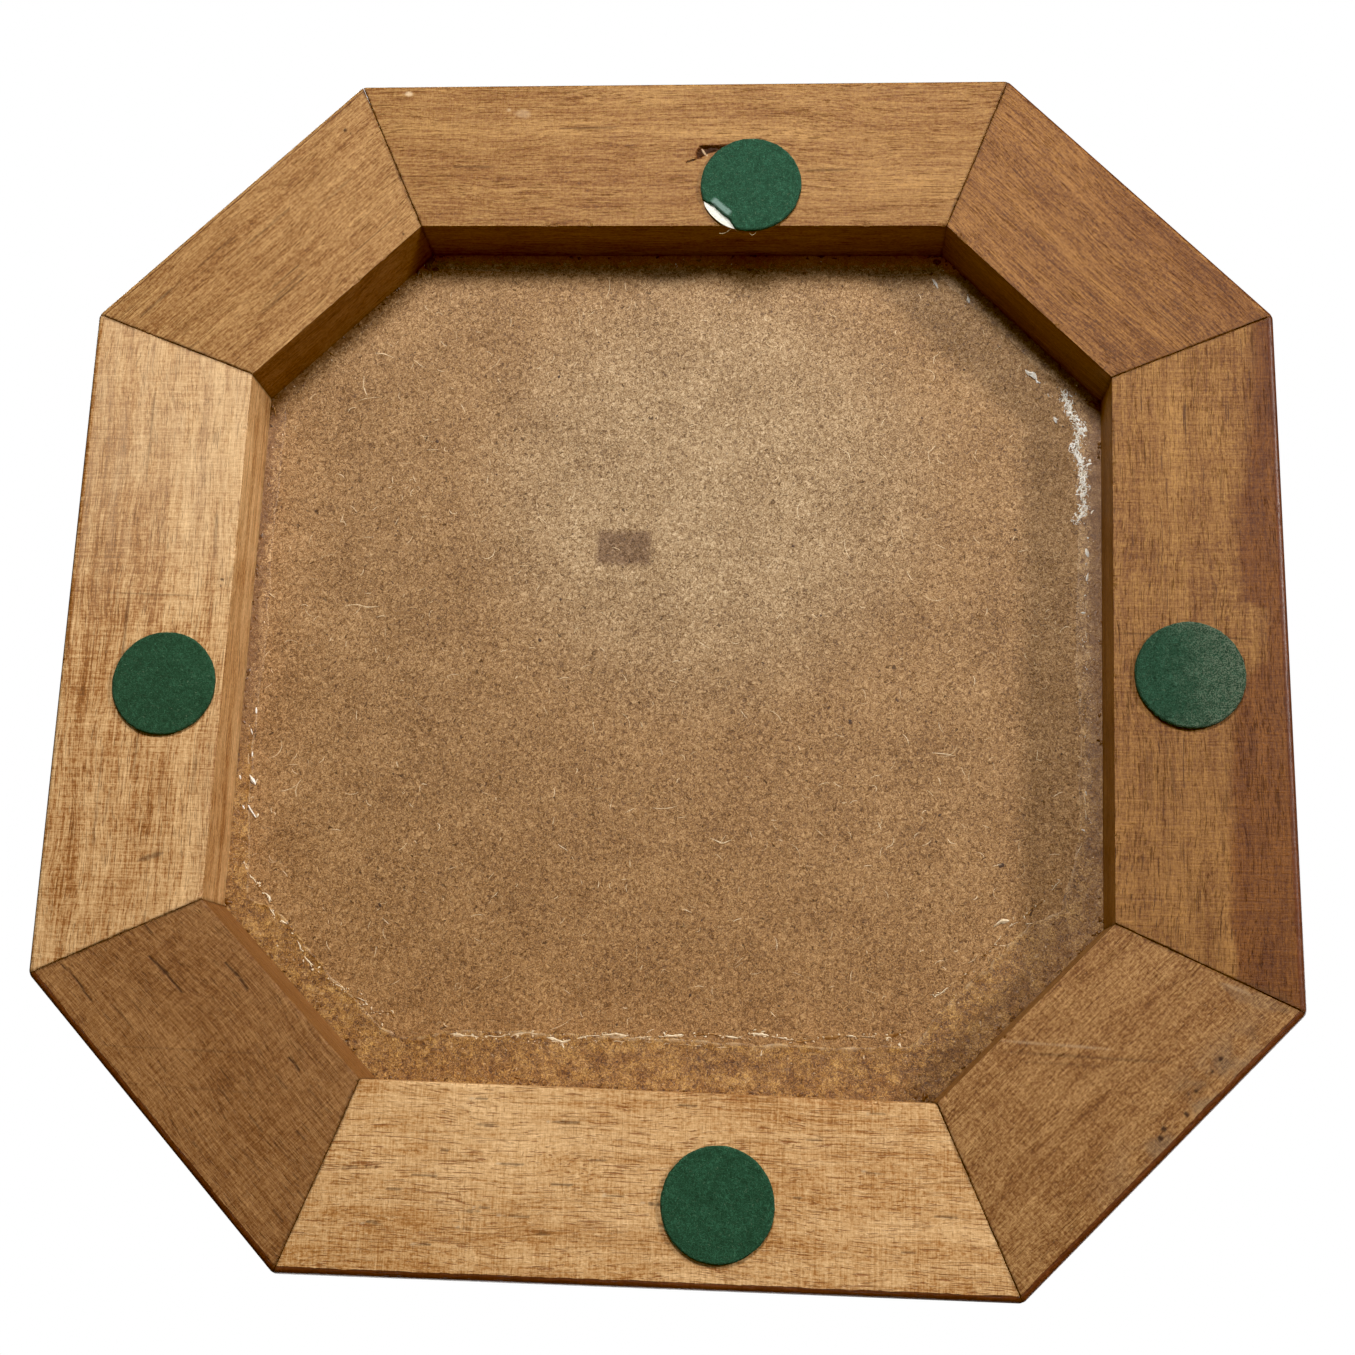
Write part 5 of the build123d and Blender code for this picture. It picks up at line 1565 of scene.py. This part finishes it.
# splines stay as the CAD made them, inside the mitres
g = Graph("spline_ply", 0.6)
c = g.scale(g.coords("Object"), (1000, 1000, 1000))
n1 = g.noise(g.scale(c, (0.3, 0.3, 2.4)), 1.0, 3.0)
n2 = g.noise(g.scale(c, (1.8, 1.8, 1.8)), 1.0, 3.0)
tone = g.wsum((0.6, n1), (0.4, n2))
col = g.ramp(tone, [(0.3, srgb(150, 108, 62)), (0.7, srgb(208, 168, 116))])
mat = g.finish(col, g.math("MULTIPLY_ADD", n2, 0.2, 0.5), g.bump(tone, 0.4, 0.0002))
sp = NODES["mitre_splines"]
sp.data.materials.clear()
sp.data.materials.append(mat)


# --------------------------------------------------------------------------
# stage: a pale floor that is only there from above, white world behind
def disc_floor():
    me = bpy.data.meshes.new("studio_floor")
    n = 96
    th = np.linspace(0, 2 * math.pi, n, endpoint=False)
    v = [(0, 0, -0.0004)] + [(2.4 * math.cos(a), 2.4 * math.sin(a), -0.0004) for a in th]
    me.from_pydata(v, [], [(0, 1 + k, 1 + (k + 1) % n) for k in range(n)])
    ob = bpy.data.objects.new("studio_floor", me)
    bpy.context.scene.collection.objects.link(ob)
    m = bpy.data.materials.new("studio_floor")
    m.use_nodes = True
    t = m.node_tree
    t.nodes.clear()
    out = t.nodes.new("ShaderNodeOutputMaterial")
    dif = t.nodes.new("ShaderNodeBsdfDiffuse")
    dif.inputs[0].default_value = (0.86, 0.855, 0.84, 1)
    tr = t.nodes.new("ShaderNodeBsdfTransparent")
    geo = t.nodes.new("ShaderNodeNewGeometry")
    mix = t.nodes.new("ShaderNodeMixShader")
    tc = t.nodes.new("ShaderNodeTexCoord")
    ln = t.nodes.new("ShaderNodeVectorMath")
    ln.operation = "LENGTH"
    t.links.new(tc.outputs["Object"], ln.inputs[0])
    mr = t.nodes.new("ShaderNodeMapRange")
    mr.interpolation_type = "SMOOTHSTEP"
    mr.inputs[1].default_value = 0.35
    mr.inputs[2].default_value = 1.5
    t.links.new(ln.outputs[1], mr.inputs[0])
    mx = t.nodes.new("ShaderNodeMath")
    mx.operation = "MAXIMUM"
    t.links.new(mr.outputs[0], mx.inputs[0])
    t.links.new(geo.outputs["Backfacing"], mx.inputs[1])
    t.links.new(mx.outputs[0], mix.inputs[0])
    t.links.new(dif.outputs[0], mix.inputs[1])
    t.links.new(tr.outputs[0], mix.inputs[2])
    t.links.new(mix.outputs[0], out.inputs[0])
    me.materials.append(m)
    ob.visible_shadow = False
    ob.visible_diffuse = False
    ob.visible_glossy = False
    ob.visible_transmission = False
    return ob


disc_floor()

world = bpy.data.worlds.new("studio")
bpy.context.scene.world = world
world.use_nodes = True
wt = world.node_tree
wt.nodes.clear()
wo = wt.nodes.new("ShaderNodeOutputWorld")
b1 = wt.nodes.new("ShaderNodeBackground")
b2 = wt.nodes.new("ShaderNodeBackground")
b1.inputs[0].default_value = (0.95, 0.97, 1.0, 1)
b1.inputs[1].default_value = 0.036
b2.inputs[0].default_value = (1, 1, 1, 1)
b2.inputs[1].default_value = 1.0
lp = wt.nodes.new("ShaderNodeLightPath")
wm = wt.nodes.new("ShaderNodeMixShader")
wt.links.new(lp.outputs["Is Camera Ray"], wm.inputs[0])
wt.links.new(b1.outputs[0], wm.inputs[1])
wt.links.new(b2.outputs[0], wm.inputs[2])
wt.links.new(wm.outputs[0], wo.inputs[0])


def lamp(name, direction, distance, size, power, color=(1, 1, 1)):
    d = Vector(direction).normalized()
    li = bpy.data.lights.new(name, "AREA")
    li.shape = "DISK"
    li.size = size
    li.energy = power
    li.color = color
    ob = bpy.data.objects.new(name, li)
    bpy.context.scene.collection.objects.link(ob)
    ob.location = d * distance + Vector((0, 0, 0.01))
    ob.rotation_mode = "QUATERNION"
    ob.rotation_quaternion = (-d).to_track_quat("-Z", "Y")
    ob.visible_camera = False
    return ob


# from below: the light the underside is seen by
lamp("under_key", (0.0, -0.651, -1.0), 0.656, 0.17, 3.24, (1.0, 0.985, 0.96))
lamp("under_side", (1.28, -0.5, -1.0), 1.3, 0.2, 8.95, (1.0, 0.97, 0.93))
lamp("under_fill", (0.0, -0.1, -1.0), 1.6, 1.0, 1.9, (1.0, 0.97, 0.92))
# from above: for the play side and the edges
lamp("top_key", (-0.55, -0.75, 1.0), 1.6, 0.9, 21.0, (1.0, 0.985, 0.965))
lamp("top_fill", (0.95, 0.35, 0.9), 1.7, 1.1, 13.0, (0.97, 0.985, 1.0))
lamp("top_back", (-0.2, 1.0, 0.75), 1.7, 0.9, 11.0, (1.0, 0.99, 0.98))

scene = bpy.context.scene
scene.view_settings.view_transform = "Standard"
scene.view_settings.look = "None"
scene.view_settings.exposure = 0.0
scene.view_settings.gamma = 1.0
scene.view_settings.use_curve_mapping = True
scene.view_settings.curve_mapping.black_level = (0.002, 0.004, 0.007)
scene.view_settings.curve_mapping.update()

# camera: under the board, looking up at its underside
rv = np.array([-0.2224, -0.0727, -0.0291])
ang = float(np.linalg.norm(rv))
kx = rv / ang
K = np.array([[0, -kx[2], kx[1]], [kx[2], 0, -kx[0]], [-kx[1], kx[0], 0]])
R = np.eye(3) + math.sin(ang) * K + (1 - math.cos(ang)) * K @ K
M = np.diag([1.0, -1.0, -1.0]) @ R.T
cam_data = bpy.data.cameras.new("camera")
cam_data.lens = 46.28
cam_data.sensor_width = 36.0
cam_data.clip_start = 0.01
cam_data.clip_end = 20.0
cam_data.dof.use_dof = False
cam = bpy.data.objects.new("camera", cam_data)
scene.collection.objects.link(cam)
cam.matrix_world = Matrix([
    [*M[0], 0.033976], [*M[1], 0.09655], [*M[2], -0.38449], [0, 0, 0, 1],
])
scene.camera = cam
